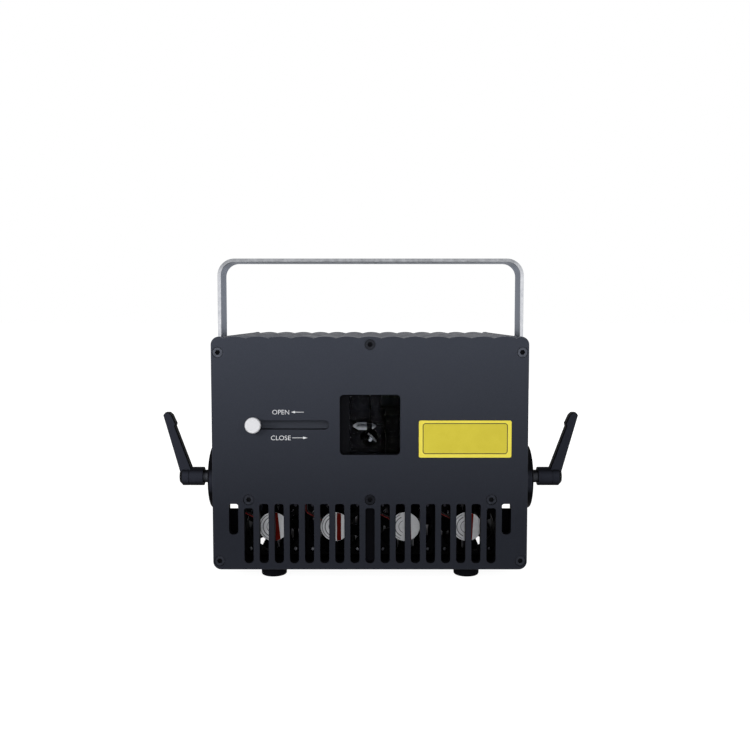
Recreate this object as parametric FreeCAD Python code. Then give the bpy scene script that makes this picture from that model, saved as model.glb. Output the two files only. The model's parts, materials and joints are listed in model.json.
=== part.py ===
import FreeCAD, Part
import math
import os

from FreeCAD import Vector

# A laser show projector: a ribbed case between two panels, standing on four feet and held in a yoke.
# Millimetres. +Z is up and the front faces -Y.
# The origin lies on the standing surface, under the middle of the part.
# Depths run back from the front face of the front panel, heights up from the lower edge of that panel.

# Fits
CUT_OVERRUN = 1.0
FIXED_CLEARANCE = 0.2
RUNNING_CLEARANCE = 0.05
SLIDE_CLEARANCE = 0.3
FACE_CLEARANCE = 0.1

# Case
PANEL_WIDTH = 272.0
PANEL_HEIGHT = 202.0
PANEL_CORNER_RADIUS = 7.0
PANEL_EDGE_CHAMFER = 0.5
CASE_DEPTH = 248.0
FRONT_PANEL_THICKNESS = 8.0
REAR_PANEL_THICKNESS = 4.0

# Ribs of the case
RIDGE_COUNT = 13
RIDGE_MARGIN = 10.9
RIDGE_RISE = 1.5
SIDE_RIDGE_COUNT = 9
SIDE_RIDGE_LOW = 20.0
SIDE_RIDGE_TOP_INSET = 22.0

# Housing
HOUSING_SIDE_INSET = 2.0
HOUSING_SIDE_WALL = 6.0
HOUSING_TOP_WALL = 6.0
CORNER_BOSS_WIDTH = 6.0
CORNER_BOSS_HEIGHT = 13.0
TOP_BOSS_WIDTH = 14.0
TOP_BOSS_DROP = 8.0
PIVOT_PAD_RADIUS = 16.5
PIVOT_PAD_RISE = 1.0
SIDE_VENT_LOW = 23.0
SIDE_VENT_HEIGHT = 28.0
SIDE_VENT_FRONT_MARGIN = 30.0
SIDE_VENT_REAR_MARGIN = 43.0
SIDE_VENT_PIVOT_GAP = 4.0
SIDE_VENT_PAD_GAP = 1.1
SIDE_VENT_BAR = 12.0
SIDE_VENT_BAR_SETBACK = 17.0
SIDE_VENT_RADIUS = 5.0

# Base plate and feet
BASE_THICKNESS = 3.0
BASE_VENT_WIDTH = 6.4
BASE_VENT_PITCH = 8.4
BASE_VENT_COUNT = 2
BASE_VENT_FIRST_X = 105.6
BASE_VENT_DEPTH = 50.0
BASE_VENT_GAP = 12.0
BASE_VENT_RADIUS = 2.4
FOOT_HEIGHT = 10.0
FOOT_TOP_RADIUS = 11.6
FOOT_BOTTOM_RADIUS = 11.1
FOOT_EDGE_RADIUS = 1.5
FOOT_SIDE_INSET = 50.4
FOOT_INSET = 22.5

# Vent slots of the panels
VENT_COUNT = 17
VENT_PITCH = 13.1
VENT_WIDTH = 8.0
VENT_LOW = 5.6
VENT_HIGH = 57.6
VENT_SHORT_HIGH = 53.9
VENT_OUTER_LOW = 30.8
VENT_TOP_RADIUS = 2.0
VENT_BOTTOM_RADIUS = 3.4

# Panel screws
SCREW_CORNER_INSET = 5.7
SCREW_TOP_INSET = 13.5
SCREW_BOTTOM_HEIGHT = 7.6
SCREW_CENTRE_INSET = 6.8
SCREW_MIDDLE_X = 104.8
SCREW_MIDDLE_RISE = 3.8
SCREW_HEAD_RADIUS = 4.25
SCREW_HEAD_HEIGHT = 3.2
SCREW_HEAD_SINK = 0.6
SCREW_RING_GAP = 0.4
SCREW_SHANK_RADIUS = 2.4
SCREW_GRIP = 10.0
SCREW_SOCKET_FLATS = 4.0
SCREW_SOCKET_DEPTH = 2.2

# Aperture and shutter
APERTURE_WIDTH = 52.0
APERTURE_HEIGHT = 52.0
APERTURE_RADIUS = 3.5
SHUTTER_SLOT_LEFT = -104.0
SHUTTER_SLOT_RIGHT = -35.0
SHUTTER_SLOT_WIDTH = 8.0
SHUTTER_THICKNESS = 2.0
SHUTTER_RIGHT = -18.2
SHUTTER_LENGTH = 104.0
SHUTTER_MARGIN = 3.5
KNOB_RADIUS = 6.75
KNOB_REACH = 6.0
KNOB_GAP = 1.0
KNOB_STEM_RADIUS = 3.6
KNOB_EDGE = 0.8
RAIL_HEIGHT = 5.0
RAIL_LIP_COVER = 2.8
RAIL_LIP_THICKNESS = 1.5
RAIL_LEFT = -124.5
RAIL_RIGHT = 46.0
GLASS_WIDTH = 64.0
GLASS_THICKNESS = 2.0
GLASS_MARGIN = 7.0

# Blank plate on the front panel
LABEL_LEFT = 42.0
LABEL_RIGHT = 121.5
LABEL_DROP = 28.2
LABEL_HEIGHT = 32.0
LABEL_THICKNESS = 0.3
LABEL_RADIUS = 1.5

# Optics plate and the pivot blocks beside it
OPTICS_PLATE_LOW = 57.4
OPTICS_PLATE_THICKNESS = 10.0
PIVOT_HEIGHT = 59.1
PIVOT_DEPTH = 125.0
PIVOT_BLOCK_WIDTH = 14.0
PIVOT_BLOCK_LENGTH = 32.0
PIVOT_BLOCK_HEIGHT = 30.0

# Yoke and its clamps
YOKE_STRAP_WIDTH = 32.0
YOKE_THICKNESS = 3.5
YOKE_ARM_GAP = 11.6
YOKE_TOP_HEIGHT = 275.4
YOKE_BEND_RADIUS = 16.5
YOKE_EDGE_RADIUS = 0.6
YOKE_MOUNT_RADIUS = 6.5
BUSH_RADIUS = 16.0
STUD_RADIUS = 4.0
STUD_HOLE_CLEARANCE = 0.3
DISC_RADIUS = 31.5
DISC_THICKNESS = 9.4
DISC_EDGE_RADIUS = 2.0
NECK_RADIUS = 6.35
NECK_LENGTH = 8.8
INSERT_RADIUS = 5.5
INSERT_LENGTH = 16.0
HUB_RADIUS = 9.25
HUB_LENGTH = 23.6
HUB_CHAMFER = 3.0
HUB_GROOVE_START = 13.4
HUB_GROOVE_WIDTH = 0.9
HUB_GROOVE_DEPTH = 0.8
HUB_BORE_SPARE = 2.5
ARM_ROOT_INNER = 11.2
ARM_ROOT_RISE = 6.0
ARM_WAIST_INNER = 27.5
ARM_WAIST_RISE = 50.5
ARM_PAD_INNER = 26.8
ARM_PAD_RISE = 53.3
ARM_TIP_INNER = 30.7
ARM_TIP_SHOULDER_RISE = 62.0
ARM_TIP_INNER_CREST = 33.6
ARM_TIP_OUTER_CREST = 37.2
ARM_TIP_RISE = 64.6
ARM_TIP_OUTER = 39.3
ARM_THICKNESS = 11.0
ARM_EDGE_RADIUS = 1.5

# Fans
FAN_SIZE = 50.0
FAN_THICKNESS = 15.0
FAN_DEPTH = 24.0
FAN_FLOOR_GAP = 4.0
FAN_INNER_X = 31.2
FAN_OUTER_X = 86.4
FAN_HOLE_INSET = 5.0
FAN_CORNER_RADIUS = 3.0
FAN_DUCT_WALL = 1.0
FAN_MOTOR_RADIUS = 13.2
FAN_MOTOR_THICKNESS = 3.0
FAN_LABEL_RADIUS = 13.0
FAN_LABEL_THICKNESS = 0.2
FAN_STRUT_WIDTH = 3.4
FAN_STRUT_COUNT = 3
FAN_STRUT_ANGLE = 153.0
FAN_BEARING_RADIUS = 3.5
FAN_SHAFT_RADIUS = 1.5
FAN_HUB_RADIUS = 12.6
FAN_HUB_WALL = 1.4
FAN_END_GAP = 0.8
FAN_TIP_GAP = 0.8
FAN_BLADE_COUNT = 7
FAN_BLADE_CHORD = 13.0
FAN_BLADE_THICKNESS = 1.2
FAN_BLADE_ANGLE = 40.0
FAN_PHASES = (-1.0, 17.0, 40.0, 27.0)
FAN_SCREW_HEAD_RADIUS = 2.6
FAN_SCREW_HEAD_HEIGHT = 2.0
FAN_SCREW_EDGE_RADIUS = 1.5
FAN_SCREW_SHANK_RADIUS = 1.8
LEAD_RADIUS = 0.6
LEAD_STEP = 1.5
LEAD_BEND = 5.0
LEAD_SIDE_GAP = 1.3
BRACKET_THICKNESS = 2.0
BRACKET_GAP = 0.5
BRACKET_EAR_HIGH = 48.2
POST_WIDTH = 8.0

# Heatsink
SINK_WIDTH = 184.0
SINK_DEPTH = 46.0
SINK_REAR_GAP = 18.0
SINK_BASE_THICKNESS = 6.0
SINK_FLOOR_GAP = 3.0
SINK_FIN_COUNT = 29
SINK_FIN_THICKNESS = 2.0

# Scanner
SCAN_Y_DROP = 4.7
SCAN_X_DROP = 18.7
SCAN_DEPTH = 45.0
SCAN_SHAFT_RADIUS = 1.5
SCAN_MOTOR_RADIUS = 8.0
SCAN_MOTOR_LENGTH = 40.0
SCAN_BEARING_LENGTH = 12.0
SCAN_SHAFT_END_GAP = 1.0
SCAN_X_MOTOR_DEPTH = 52.0
SCAN_Y_MOTOR_X = 12.0
SCAN_BLOCK_LEFT = -20.0
SCAN_BLOCK_RIGHT = 10.0
SCAN_BLOCK_DEPTH = 54.0
SCAN_BLOCK_LENGTH = 20.0
SCAN_BLOCK_RISE = 33.8
SCAN_SLIT_WIDTH = 1.4
SCAN_SIDE_LEFT = 14.0
SCAN_SIDE_WIDTH = 16.0
SCAN_SIDE_DEPTH = 30.0
SCAN_SIDE_RISE = 5.8
BEAM_HOLE_RADIUS = 2.5
MIRROR_THICKNESS = 1.2
MIRROR_Y_LENGTH = 20.9
MIRROR_Y_WIDTH = 10.8
MIRROR_Y_CORNER = 4.5
MIRROR_Y_MIDDLE_X = -5.2
MIRROR_X_LENGTH = 8.0
MIRROR_X_WIDTH = 10.0
MIRROR_BEVEL = 0.6
MIRROR_SHAFT_GAP = 0.4
JAW_X_LENGTH = 4.0
JAW_X_WIDTH = 3.0
JAW_Y_X = -3.0
JAW_Y_LENGTH = 4.6
JAW_LIP = 0.8
MIRROR_ANGLE = 45.0

# Lasers and beam optics
LASER_BEAM_X = 85.0
LASER_RISE = 20.0
LASER_LENS_RADIUS = 3.0
LASER_LENS_LENGTH = 2.0
RED_WIDTH = 38.0
RED_DEPTH = 150.0
RED_REAR_GAP = 32.0
GREEN_LEFT = -20.0
GREEN_RIGHT = 62.0
GREEN_DEPTH = 118.0
BLUE_LEFT = 20.0
BLUE_RIGHT = 62.0
BLUE_DEPTH = 78.0
SIDE_LASER_WIDTH = 34.0
TURN_DEPTH = 44.0
MOUNT_SIZE = 14.0
MOUNT_THICKNESS = 8.0
FOLD_MIRROR_WIDTH = 16.0
FOLD_MIRROR_HEIGHT = 18.0
FOLD_MIRROR_THICKNESS = 2.0

# Supplies and boards
SUPPLY_LEFT = -112.0
SUPPLY_WIDTH = 82.0
SUPPLY_DRIVER_GAP = 7.0
SUPPLY_REAR_GAP = 34.0
SUPPLY_HEIGHT = 38.0
BOARD_THICKNESS = 1.6
BOARD_STANDOFF = 12.0
BOARD_INSET = 6.0
STANDOFF_RADIUS = 3.0
DRIVER_LEFT = -120.0
DRIVER_WIDTH = 80.0
DRIVER_DEPTH = 40.0
DRIVER_PIVOT_GAP = 11.0

# Rear connectors
INLET_X = 98.0
INLET_FLANGE_WIDTH = 31.0
INLET_FLANGE_HEIGHT = 24.0
INLET_BODY_WIDTH = 28.0
INLET_BODY_HEIGHT = 20.5
INLET_RECESS_WIDTH = 24.0
INLET_RECESS_HEIGHT = 16.0
INLET_RECESS_DEPTH = 16.0
INLET_BODY_DEPTH = 20.0
INLET_RADIUS = 2.0
INLET_PIN_WIDTH = 2.0
INLET_PIN_HEIGHT = 4.0
INLET_PIN_LENGTH = 10.0
INLET_PIN_SPREAD = 7.0
INLET_PIN_OFFSET = 2.0
FLANGE_THICKNESS = 2.0
SWITCH_X = 98.0
SWITCH_WIDTH = 19.0
SWITCH_TALL = 26.0
SWITCH_DEPTH = 18.0
SWITCH_WALL = 2.5
SWITCH_FLANGE_RIM = 1.5
ROCKER_RISE = 3.5
ROCKER_DISH = 3.0
ROCKER_BACK = 7.0
ROCKER_HUB_RADIUS = 4.0
ROCKER_PIN_RADIUS = 1.5
ROCKER_PIN_LENGTH = 1.5
ROCKER_TILT = 6.0
KEY_X = -98.0
KEY_FLANGE_RADIUS = 10.0
KEY_FLANGE_THICKNESS = 4.0
KEY_BARREL_RADIUS = 8.0
KEY_BARREL_DEPTH = 20.0
KEY_PLUG_RADIUS = 5.0
KEY_PLUG_LENGTH = 16.0
KEY_SLOT_DEPTH = 12.0
KEY_THICKNESS = 2.0
KEY_BLADE_HEIGHT = 6.0
KEY_BLADE_LENGTH = 16.0
KEY_BOW_HEIGHT = 18.0
KEY_BOW_LENGTH = 14.0
KEY_BOW_RADIUS = 4.0
KEY_HOLE_RADIUS = 2.5
KEY_REACH = 20.0
DMX_IN_X = 54.0
DMX_OUT_X = 18.0
INTERLOCK_X = -98.0
XLR_FLANGE_WIDTH = 26.0
XLR_FLANGE_HEIGHT = 31.0
XLR_FLANGE_RADIUS = 3.0
XLR_BODY_RADIUS = 11.5
XLR_BODY_DEPTH = 18.0
XLR_CUP_RADIUS = 8.0
XLR_CUP_DEPTH = 13.0
XLR_PIN_RADIUS = 1.2
XLR_PIN_LENGTH = 7.0
XLR_PIN_CIRCLE = 4.2
XLR_PIN_COUNT = 3
XLR_SCREW_SPREAD_X = 9.5
XLR_SCREW_SPREAD_Z = 12.0
XLR_SCREW_RADIUS = 2.2
XLR_SCREW_HEIGHT = 1.0
XLR_RING_RADIUS = 9.6
XLR_RING_HEIGHT = 1.0
SIGNAL_X = -36.0
SIGNAL_FLANGE_WIDTH = 53.0
SIGNAL_FLANGE_HEIGHT = 12.5
SIGNAL_SHELL_WIDTH = 39.0
SIGNAL_SHELL_HEIGHT = 8.4
SIGNAL_SHELL_RISE = 5.0
SIGNAL_SHELL_RADIUS = 2.0
SIGNAL_BODY_DEPTH = 12.0
SIGNAL_UPPER_COUNT = 13
SIGNAL_LOWER_COUNT = 12
SIGNAL_PITCH = 2.76
SIGNAL_ROW_GAP = 2.84
SIGNAL_HOLE_RADIUS = 0.6
SIGNAL_HOLE_DEPTH = 4.0
SIGNAL_SCREW_SPREAD = 23.5
SIGNAL_SCREW_RADIUS = 2.6
SIGNAL_SCREW_HEIGHT = 4.0

# Display, buttons, lamp and safety eye
DISPLAY_X = 24.0
DISPLAY_WIDTH = 66.0
DISPLAY_TALL = 26.0
DISPLAY_RISE = 1.2
DISPLAY_RADIUS = 2.0
BUTTON_COUNT = 4
BUTTON_FIRST_X = -30.0
BUTTON_PITCH = 13.0
BUTTON_RADIUS = 4.0
BUTTON_RISE = 2.5
BUTTON_FLANGE_RADIUS = 5.2
BUTTON_FLANGE_THICKNESS = 1.4
BUTTON_GAP = 2.2
BUTTON_EDGE = 0.4
BUTTON_BOARD_LEFT = -80.0
BUTTON_BOARD_RIGHT = 62.0
BUTTON_BOARD_TALL = 34.0
LAMP_X = -98.0
LAMP_RADIUS = 3.0
LAMP_RIM_RADIUS = 4.5
LAMP_DEPTH = 9.0
EYE_TOP_INSET = 22.0
EYE_BASE_WIDTH = 34.0
EYE_BASE_TALL = 18.0
EYE_BASE_THICKNESS = 3.0
EYE_REACH = 20.0
EYE_THICKNESS = 5.0
EYE_HOLE_RADIUS = 5.5

# Middles of the openings and fittings, from the optics plate up to the top edge of the panels
APERTURE_SHARE = 0.437
INLET_SHARE = 0.183
SOCKET_SHARE = 0.205
SWITCH_SHARE = 0.45
KEY_SHARE = 0.502
LAMP_SHARE = 0.725

# Middle of the display row, from the round sockets up to the safety eye
ROW_SHARE = 0.57

# An edge runs along an axis when this much of it does
ALONG_SHARE = 0.999

# Places worked out from the sizes above
REAR_REACH = max(KEY_FLANGE_THICKNESS + KEY_REACH, EYE_REACH)
FRONT_Y = KNOB_REACH - (KNOB_REACH + CASE_DEPTH + REAR_REACH) / 2
HALF_WIDTH = PANEL_WIDTH / 2
HOUSING_HALF = HALF_WIDTH - HOUSING_SIDE_INSET
INNER_HALF = HOUSING_HALF - HOUSING_SIDE_WALL
PANEL_BACK = FRONT_PANEL_THICKNESS
REAR_FRONT = CASE_DEPTH - REAR_PANEL_THICKNESS
PLATE_HIGH = OPTICS_PLATE_LOW + OPTICS_PLATE_THICKNESS
PLATE_HALF = INNER_HALF - FIXED_CLEARANCE
STUD_HOLE_RADIUS = STUD_RADIUS + STUD_HOLE_CLEARANCE
PAD_FACE = HOUSING_HALF + PIVOT_PAD_RISE
FIELD_HEIGHT = PANEL_HEIGHT - PLATE_HIGH
APERTURE_CENTRE_HEIGHT = PLATE_HIGH + FIELD_HEIGHT * APERTURE_SHARE
INLET_HEIGHT = PLATE_HIGH + FIELD_HEIGHT * INLET_SHARE
XLR_HEIGHT = PLATE_HIGH + FIELD_HEIGHT * SOCKET_SHARE
SIGNAL_HEIGHT = XLR_HEIGHT
SWITCH_HEIGHT = PLATE_HIGH + FIELD_HEIGHT * SWITCH_SHARE
KEY_HEIGHT = PLATE_HIGH + FIELD_HEIGHT * KEY_SHARE
LAMP_HEIGHT = PLATE_HIGH + FIELD_HEIGHT * LAMP_SHARE
EYE_HEIGHT = PANEL_HEIGHT - EYE_TOP_INSET
ROW_LOW = XLR_HEIGHT + XLR_FLANGE_HEIGHT / 2
ROW_HIGH = EYE_HEIGHT - EYE_BASE_TALL / 2
PANEL_ROW_HEIGHT = ROW_LOW + (ROW_HIGH - ROW_LOW) * ROW_SHARE
SIDE_RIDGE_HIGH = PANEL_HEIGHT - SIDE_RIDGE_TOP_INSET
BASE_VENT_LENGTH = (CASE_DEPTH - BASE_VENT_GAP) / 2 - BASE_VENT_DEPTH
FOOT_X = HALF_WIDTH - FOOT_SIDE_INSET
SCREW_CORNER_X = HALF_WIDTH - SCREW_CORNER_INSET
SCREW_TOP_HEIGHT = PANEL_HEIGHT - SCREW_TOP_INSET
SCREW_CENTRE_HEIGHT = PANEL_HEIGHT - SCREW_CENTRE_INSET
SCREW_MIDDLE_HEIGHT = OPTICS_PLATE_LOW + SCREW_MIDDLE_RISE
LABEL_LOW = APERTURE_CENTRE_HEIGHT - LABEL_DROP
LABEL_HIGH = LABEL_LOW + LABEL_HEIGHT
YOKE_INNER = HOUSING_HALF + YOKE_ARM_GAP
YOKE_HALF = YOKE_INNER + YOKE_THICKNESS
DISC_FACE = YOKE_HALF + DISC_THICKNESS
NECK_START = DISC_FACE + FACE_CLEARANCE
HUB_START = NECK_START + NECK_LENGTH + FACE_CLEARANCE
HUB_END = HUB_START + HUB_LENGTH
FAN_BACK = FAN_DEPTH + FAN_THICKNESS
FAN_HEIGHT = BASE_THICKNESS + FAN_FLOOR_GAP + FAN_SIZE / 2
FAN_HOLE_PITCH = FAN_SIZE - FAN_HOLE_INSET * 2
FAN_DUCT_RADIUS = FAN_SIZE / 2 - FAN_DUCT_WALL
SHUTTER_DEPTH = PANEL_BACK + SLIDE_CLEARANCE
LIP_DEPTH = SHUTTER_DEPTH + SHUTTER_THICKNESS + SLIDE_CLEARANCE
GLASS_DEPTH = LIP_DEPTH + RAIL_LIP_THICKNESS
SHUTTER_HALF_HEIGHT = APERTURE_HEIGHT / 2 + SHUTTER_MARGIN
SCAN_Y_HEIGHT = APERTURE_CENTRE_HEIGHT - SCAN_Y_DROP
SCAN_X_HEIGHT = APERTURE_CENTRE_HEIGHT - SCAN_X_DROP
SCAN_BLOCK_HIGH = APERTURE_CENTRE_HEIGHT + SCAN_BLOCK_RISE
SCAN_SIDE_HIGH = APERTURE_CENTRE_HEIGHT + SCAN_SIDE_RISE
BEAM_HEIGHT = SCAN_X_HEIGHT
LASER_HIGH = BEAM_HEIGHT + LASER_RISE
RED_LENGTH = REAR_FRONT - RED_REAR_GAP - RED_DEPTH
SINK_LENGTH = REAR_FRONT - SINK_REAR_GAP - SINK_DEPTH
DRIVER_END = PIVOT_DEPTH - PIVOT_BLOCK_LENGTH / 2 - DRIVER_PIVOT_GAP
DRIVER_LENGTH = DRIVER_END - DRIVER_DEPTH
SUPPLY_DEPTH = DRIVER_END + SUPPLY_DRIVER_GAP
SUPPLY_LENGTH = REAR_FRONT - SUPPLY_REAR_GAP - SUPPLY_DEPTH
FAN_PLACES = (-FAN_OUTER_X, -FAN_INNER_X, FAN_INNER_X, FAN_OUTER_X)
SIDES = (-1, 1)


# Basic shapes

def back(depth):
    return FRONT_Y + depth


def up(height):
    return FOOT_HEIGHT + height


def centred(middle, size):
    return (middle - size / 2, middle + size / 2)


def box(across, depths, heights):
    low = Vector(across[0], back(depths[0]), up(heights[0]))
    return Part.makeBox(across[1] - across[0], depths[1] - depths[0], heights[1] - heights[0], low)


def rod_x(radius, across, depth, height):
    start = Vector(min(across), back(depth), up(height))
    return Part.makeCylinder(radius, abs(across[1] - across[0]), start, Vector(1, 0, 0))


def rod_y(radius, depths, x, height):
    start = Vector(x, back(depths[0]), up(height))
    return Part.makeCylinder(radius, depths[1] - depths[0], start, Vector(0, 1, 0))


def rod_z(radius, heights, x, depth):
    start = Vector(x, back(depth), up(heights[0]))
    return Part.makeCylinder(radius, heights[1] - heights[0], start, Vector(0, 0, 1))


def edges_along(shape, axis):
    found = []
    for edge in shape.Edges:
        ends = edge.Vertexes
        if len(ends) == 2 and edge.Curve.TypeId == "Part::GeomLine":
            run = (ends[1].Point - ends[0].Point).normalize()
            if abs(run.dot(axis)) > ALONG_SHARE:
                found.append(edge)
    return found


def rounded(across, depths, heights, radius, axis):
    block = box(across, depths, heights)
    return block.makeFillet(radius, edges_along(block, axis))


def rounded_y(across, depths, heights, radius):
    return rounded(across, depths, heights, radius, Vector(0, 1, 0))


def hexagon_y(flats, depths, x, height):
    reach = flats / 2 / math.cos(math.radians(30))
    points = []
    for step in range(7):
        angle = math.radians(60 * step)
        rise = reach * math.sin(angle)
        points.append(Vector(x + reach * math.cos(angle), back(depths[0]), up(height) + rise))
    face = Part.Face(Part.makePolygon(points))
    return face.extrude(Vector(0, depths[1] - depths[0], 0))


def joined(shapes):
    whole = shapes[0].fuse(shapes[1:])
    return whole.removeSplitter()


def mirrored(shape):
    return shape.mirror(Vector(0, 0, 0), Vector(1, 0, 0))


def both_sides(shape):
    return Part.makeCompound([mirrored(shape), shape])


def turned(shape, depth, height, x, axis, degrees):
    moved = shape.copy()
    moved.rotate(Vector(x, back(depth), up(height)), axis, degrees)
    return moved


def save(name, shape):
    shape.exportStep("parts/" + name + ".step")


# Outlines of the case

def line(start, end):
    return Part.LineSegment(start, end).toShape()


def bow(start, end, rise):
    run = end - start
    side = Vector(-run.z, 0, run.x).normalize()
    middle = (start + end) / 2 + side * rise
    return Part.Arc(start, middle, end).toShape()


def ridges(start, end, count):
    step = (end - start) / count
    return [bow(start + step * turn, start + step * (turn + 1), RIDGE_RISE) for turn in range(count)]


def quarter(start, end, radius):
    return bow(start, end, radius * (1 - math.cos(math.radians(45))))


def top_run(half, y):
    high = up(PANEL_HEIGHT)
    valley = HALF_WIDTH - RIDGE_MARGIN
    first = Vector(-half + PANEL_CORNER_RADIUS, y, high)
    last = Vector(half - PANEL_CORNER_RADIUS, y, high)
    left = Vector(-valley, y, high - RIDGE_RISE)
    right = Vector(valley, y, high - RIDGE_RISE)
    return [line(first, left)] + ridges(left, right, RIDGE_COUNT) + [line(right, last)]


def panel_blank(depths, chamfer_depth):
    y = back(depths[0])
    low = up(0)
    high = up(PANEL_HEIGHT)
    radius = PANEL_CORNER_RADIUS
    wide = HALF_WIDTH
    edges = [
        line(Vector(-wide, y, low + radius), Vector(-wide, y, high - radius)),
        quarter(Vector(-wide, y, high - radius), Vector(-wide + radius, y, high), radius),
    ]
    edges += top_run(wide, y)
    edges += [
        quarter(Vector(wide - radius, y, high), Vector(wide, y, high - radius), radius),
        line(Vector(wide, y, high - radius), Vector(wide, y, low + radius)),
        quarter(Vector(wide, y, low + radius), Vector(wide - radius, y, low), radius),
        line(Vector(wide - radius, y, low), Vector(-wide + radius, y, low)),
        quarter(Vector(-wide + radius, y, low), Vector(-wide, y, low + radius), radius),
    ]
    blank = Part.Face(Part.Wire(edges)).extrude(Vector(0, depths[1] - depths[0], 0))
    face_y = back(chamfer_depth)
    below = high - radius - RIDGE_RISE
    outline = []
    for edge in blank.Edges:
        bounds = edge.BoundBox
        if bounds.YLength < RIDGE_RISE and abs(bounds.YMin - face_y) < RIDGE_RISE and bounds.ZMin < below:
            outline.append(edge)
    return blank.makeChamfer(PANEL_EDGE_CHAMFER, outline)


def vent_tool(x, low, high, depths):
    block = box(centred(x, VENT_WIDTH), depths, (low, high))
    upright = edges_along(block, Vector(0, 1, 0))
    middle = up((low + high) / 2)
    upper = [edge for edge in upright if edge.CenterOfMass.z > middle]
    block = block.makeFillet(VENT_TOP_RADIUS, upper)
    upright = edges_along(block, Vector(0, 1, 0))
    lower = [edge for edge in upright if edge.CenterOfMass.z < up(low) + VENT_TOP_RADIUS]
    return block.makeFillet(VENT_BOTTOM_RADIUS, lower)


def vent_tools(depths):
    tools = []
    half = (VENT_COUNT - 1) // 2
    for step in range(-half, half + 1):
        high = VENT_SHORT_HIGH if step in (-half, 0, half) else VENT_HIGH
        tools.append(vent_tool(step * VENT_PITCH, VENT_LOW, high, depths))
    for side in SIDES:
        tools.append(vent_tool(side * (half + 1) * VENT_PITCH, VENT_OUTER_LOW, VENT_HIGH, depths))
    return tools


def screw_places():
    places = [(0, SCREW_CENTRE_HEIGHT), (0, SCREW_MIDDLE_HEIGHT)]
    for side in SIDES:
        places.append((side * SCREW_CORNER_X, SCREW_TOP_HEIGHT))
        places.append((side * SCREW_CORNER_X, SCREW_BOTTOM_HEIGHT))
        places.append((side * SCREW_MIDDLE_X, SCREW_MIDDLE_HEIGHT))
    return places


def past(depths):
    return (depths[0] - CUT_OVERRUN, depths[1] + CUT_OVERRUN)


# Case pieces

def front_panel():
    depths = (0, FRONT_PANEL_THICKNESS)
    through = past(depths)
    half_wide = APERTURE_WIDTH / 2
    half_tall = APERTURE_HEIGHT / 2
    middle = APERTURE_CENTRE_HEIGHT
    heights = (middle - half_tall, middle + half_tall)
    tools = [rounded_y((-half_wide, half_wide), through, heights, APERTURE_RADIUS)]
    end = SHUTTER_SLOT_WIDTH / 2
    run = (SHUTTER_SLOT_LEFT + end, SHUTTER_SLOT_RIGHT - end)
    slot = box(run, through, centred(middle, SHUTTER_SLOT_WIDTH))
    tools.append(joined([slot] + [rod_y(end, through, x, middle) for x in run]))
    tools += vent_tools(through)
    sink = SCREW_HEAD_SINK + SCREW_HEAD_HEIGHT
    for x, height in screw_places():
        tools.append(rod_y(SCREW_SHANK_RADIUS + FIXED_CLEARANCE, through, x, height))
        tools.append(rod_y(SCREW_HEAD_RADIUS + SCREW_RING_GAP, (-CUT_OVERRUN, sink), x, height))
    return panel_blank(depths, 0).cut(tools)


def panel_screw(x, height):
    head_end = SCREW_HEAD_SINK + SCREW_HEAD_HEIGHT
    head = rod_y(SCREW_HEAD_RADIUS, (SCREW_HEAD_SINK, head_end), x, height)
    shank = rod_y(SCREW_SHANK_RADIUS, (head_end, FRONT_PANEL_THICKNESS + SCREW_GRIP), x, height)
    socket = (SCREW_HEAD_SINK - CUT_OVERRUN, SCREW_HEAD_SINK + SCREW_SOCKET_DEPTH)
    return joined([head, shank]).cut(hexagon_y(SCREW_SOCKET_FLATS, socket, x, height))


def rear_screw(x, height):
    start = CASE_DEPTH
    head = rod_y(SCREW_HEAD_RADIUS, (start, start + SCREW_HEAD_HEIGHT), x, height)
    shank = rod_y(SCREW_SHANK_RADIUS, (REAR_FRONT - SCREW_GRIP, start), x, height)
    top = start + SCREW_HEAD_HEIGHT
    socket = (top - SCREW_SOCKET_DEPTH, top + CUT_OVERRUN)
    return joined([head, shank]).cut(hexagon_y(SCREW_SOCKET_FLATS, socket, x, height))


def panel_screws():
    front = [panel_screw(*place) for place in screw_places()]
    return Part.makeCompound(front + [rear_screw(*place) for place in screw_places()])


def grip_holes(places):
    radius = SCREW_SHANK_RADIUS + FIXED_CLEARANCE
    reach = SCREW_GRIP + CUT_OVERRUN
    tools = []
    for x, height in places:
        tools.append(rod_y(radius, (PANEL_BACK - CUT_OVERRUN, PANEL_BACK + reach), x, height))
        tools.append(rod_y(radius, (REAR_FRONT - reach, REAR_FRONT + CUT_OVERRUN), x, height))
    return tools


def housing_side(x, y, sign, heights):
    step = Vector(-sign * RIDGE_RISE, 0, 0)
    rise = Vector(0, 0, RIDGE_RISE)
    low = Vector(x, y, up(SIDE_RIDGE_LOW))
    high = Vector(x, y, up(SIDE_RIDGE_HIGH))
    valley_low = low + step + rise
    valley_high = high + step - rise
    bottom = Vector(x, y, up(heights[0]))
    top = Vector(x, y, up(heights[1]))
    if sign < 0:
        run = [line(bottom, low), line(low, valley_low)]
        run += ridges(valley_low, valley_high, SIDE_RIDGE_COUNT)
        return run + [line(valley_high, high), line(high, top)]
    run = [line(top, high), line(high, valley_high)]
    run += ridges(valley_high, valley_low, SIDE_RIDGE_COUNT)
    return run + [line(valley_low, low), line(low, bottom)]


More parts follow.
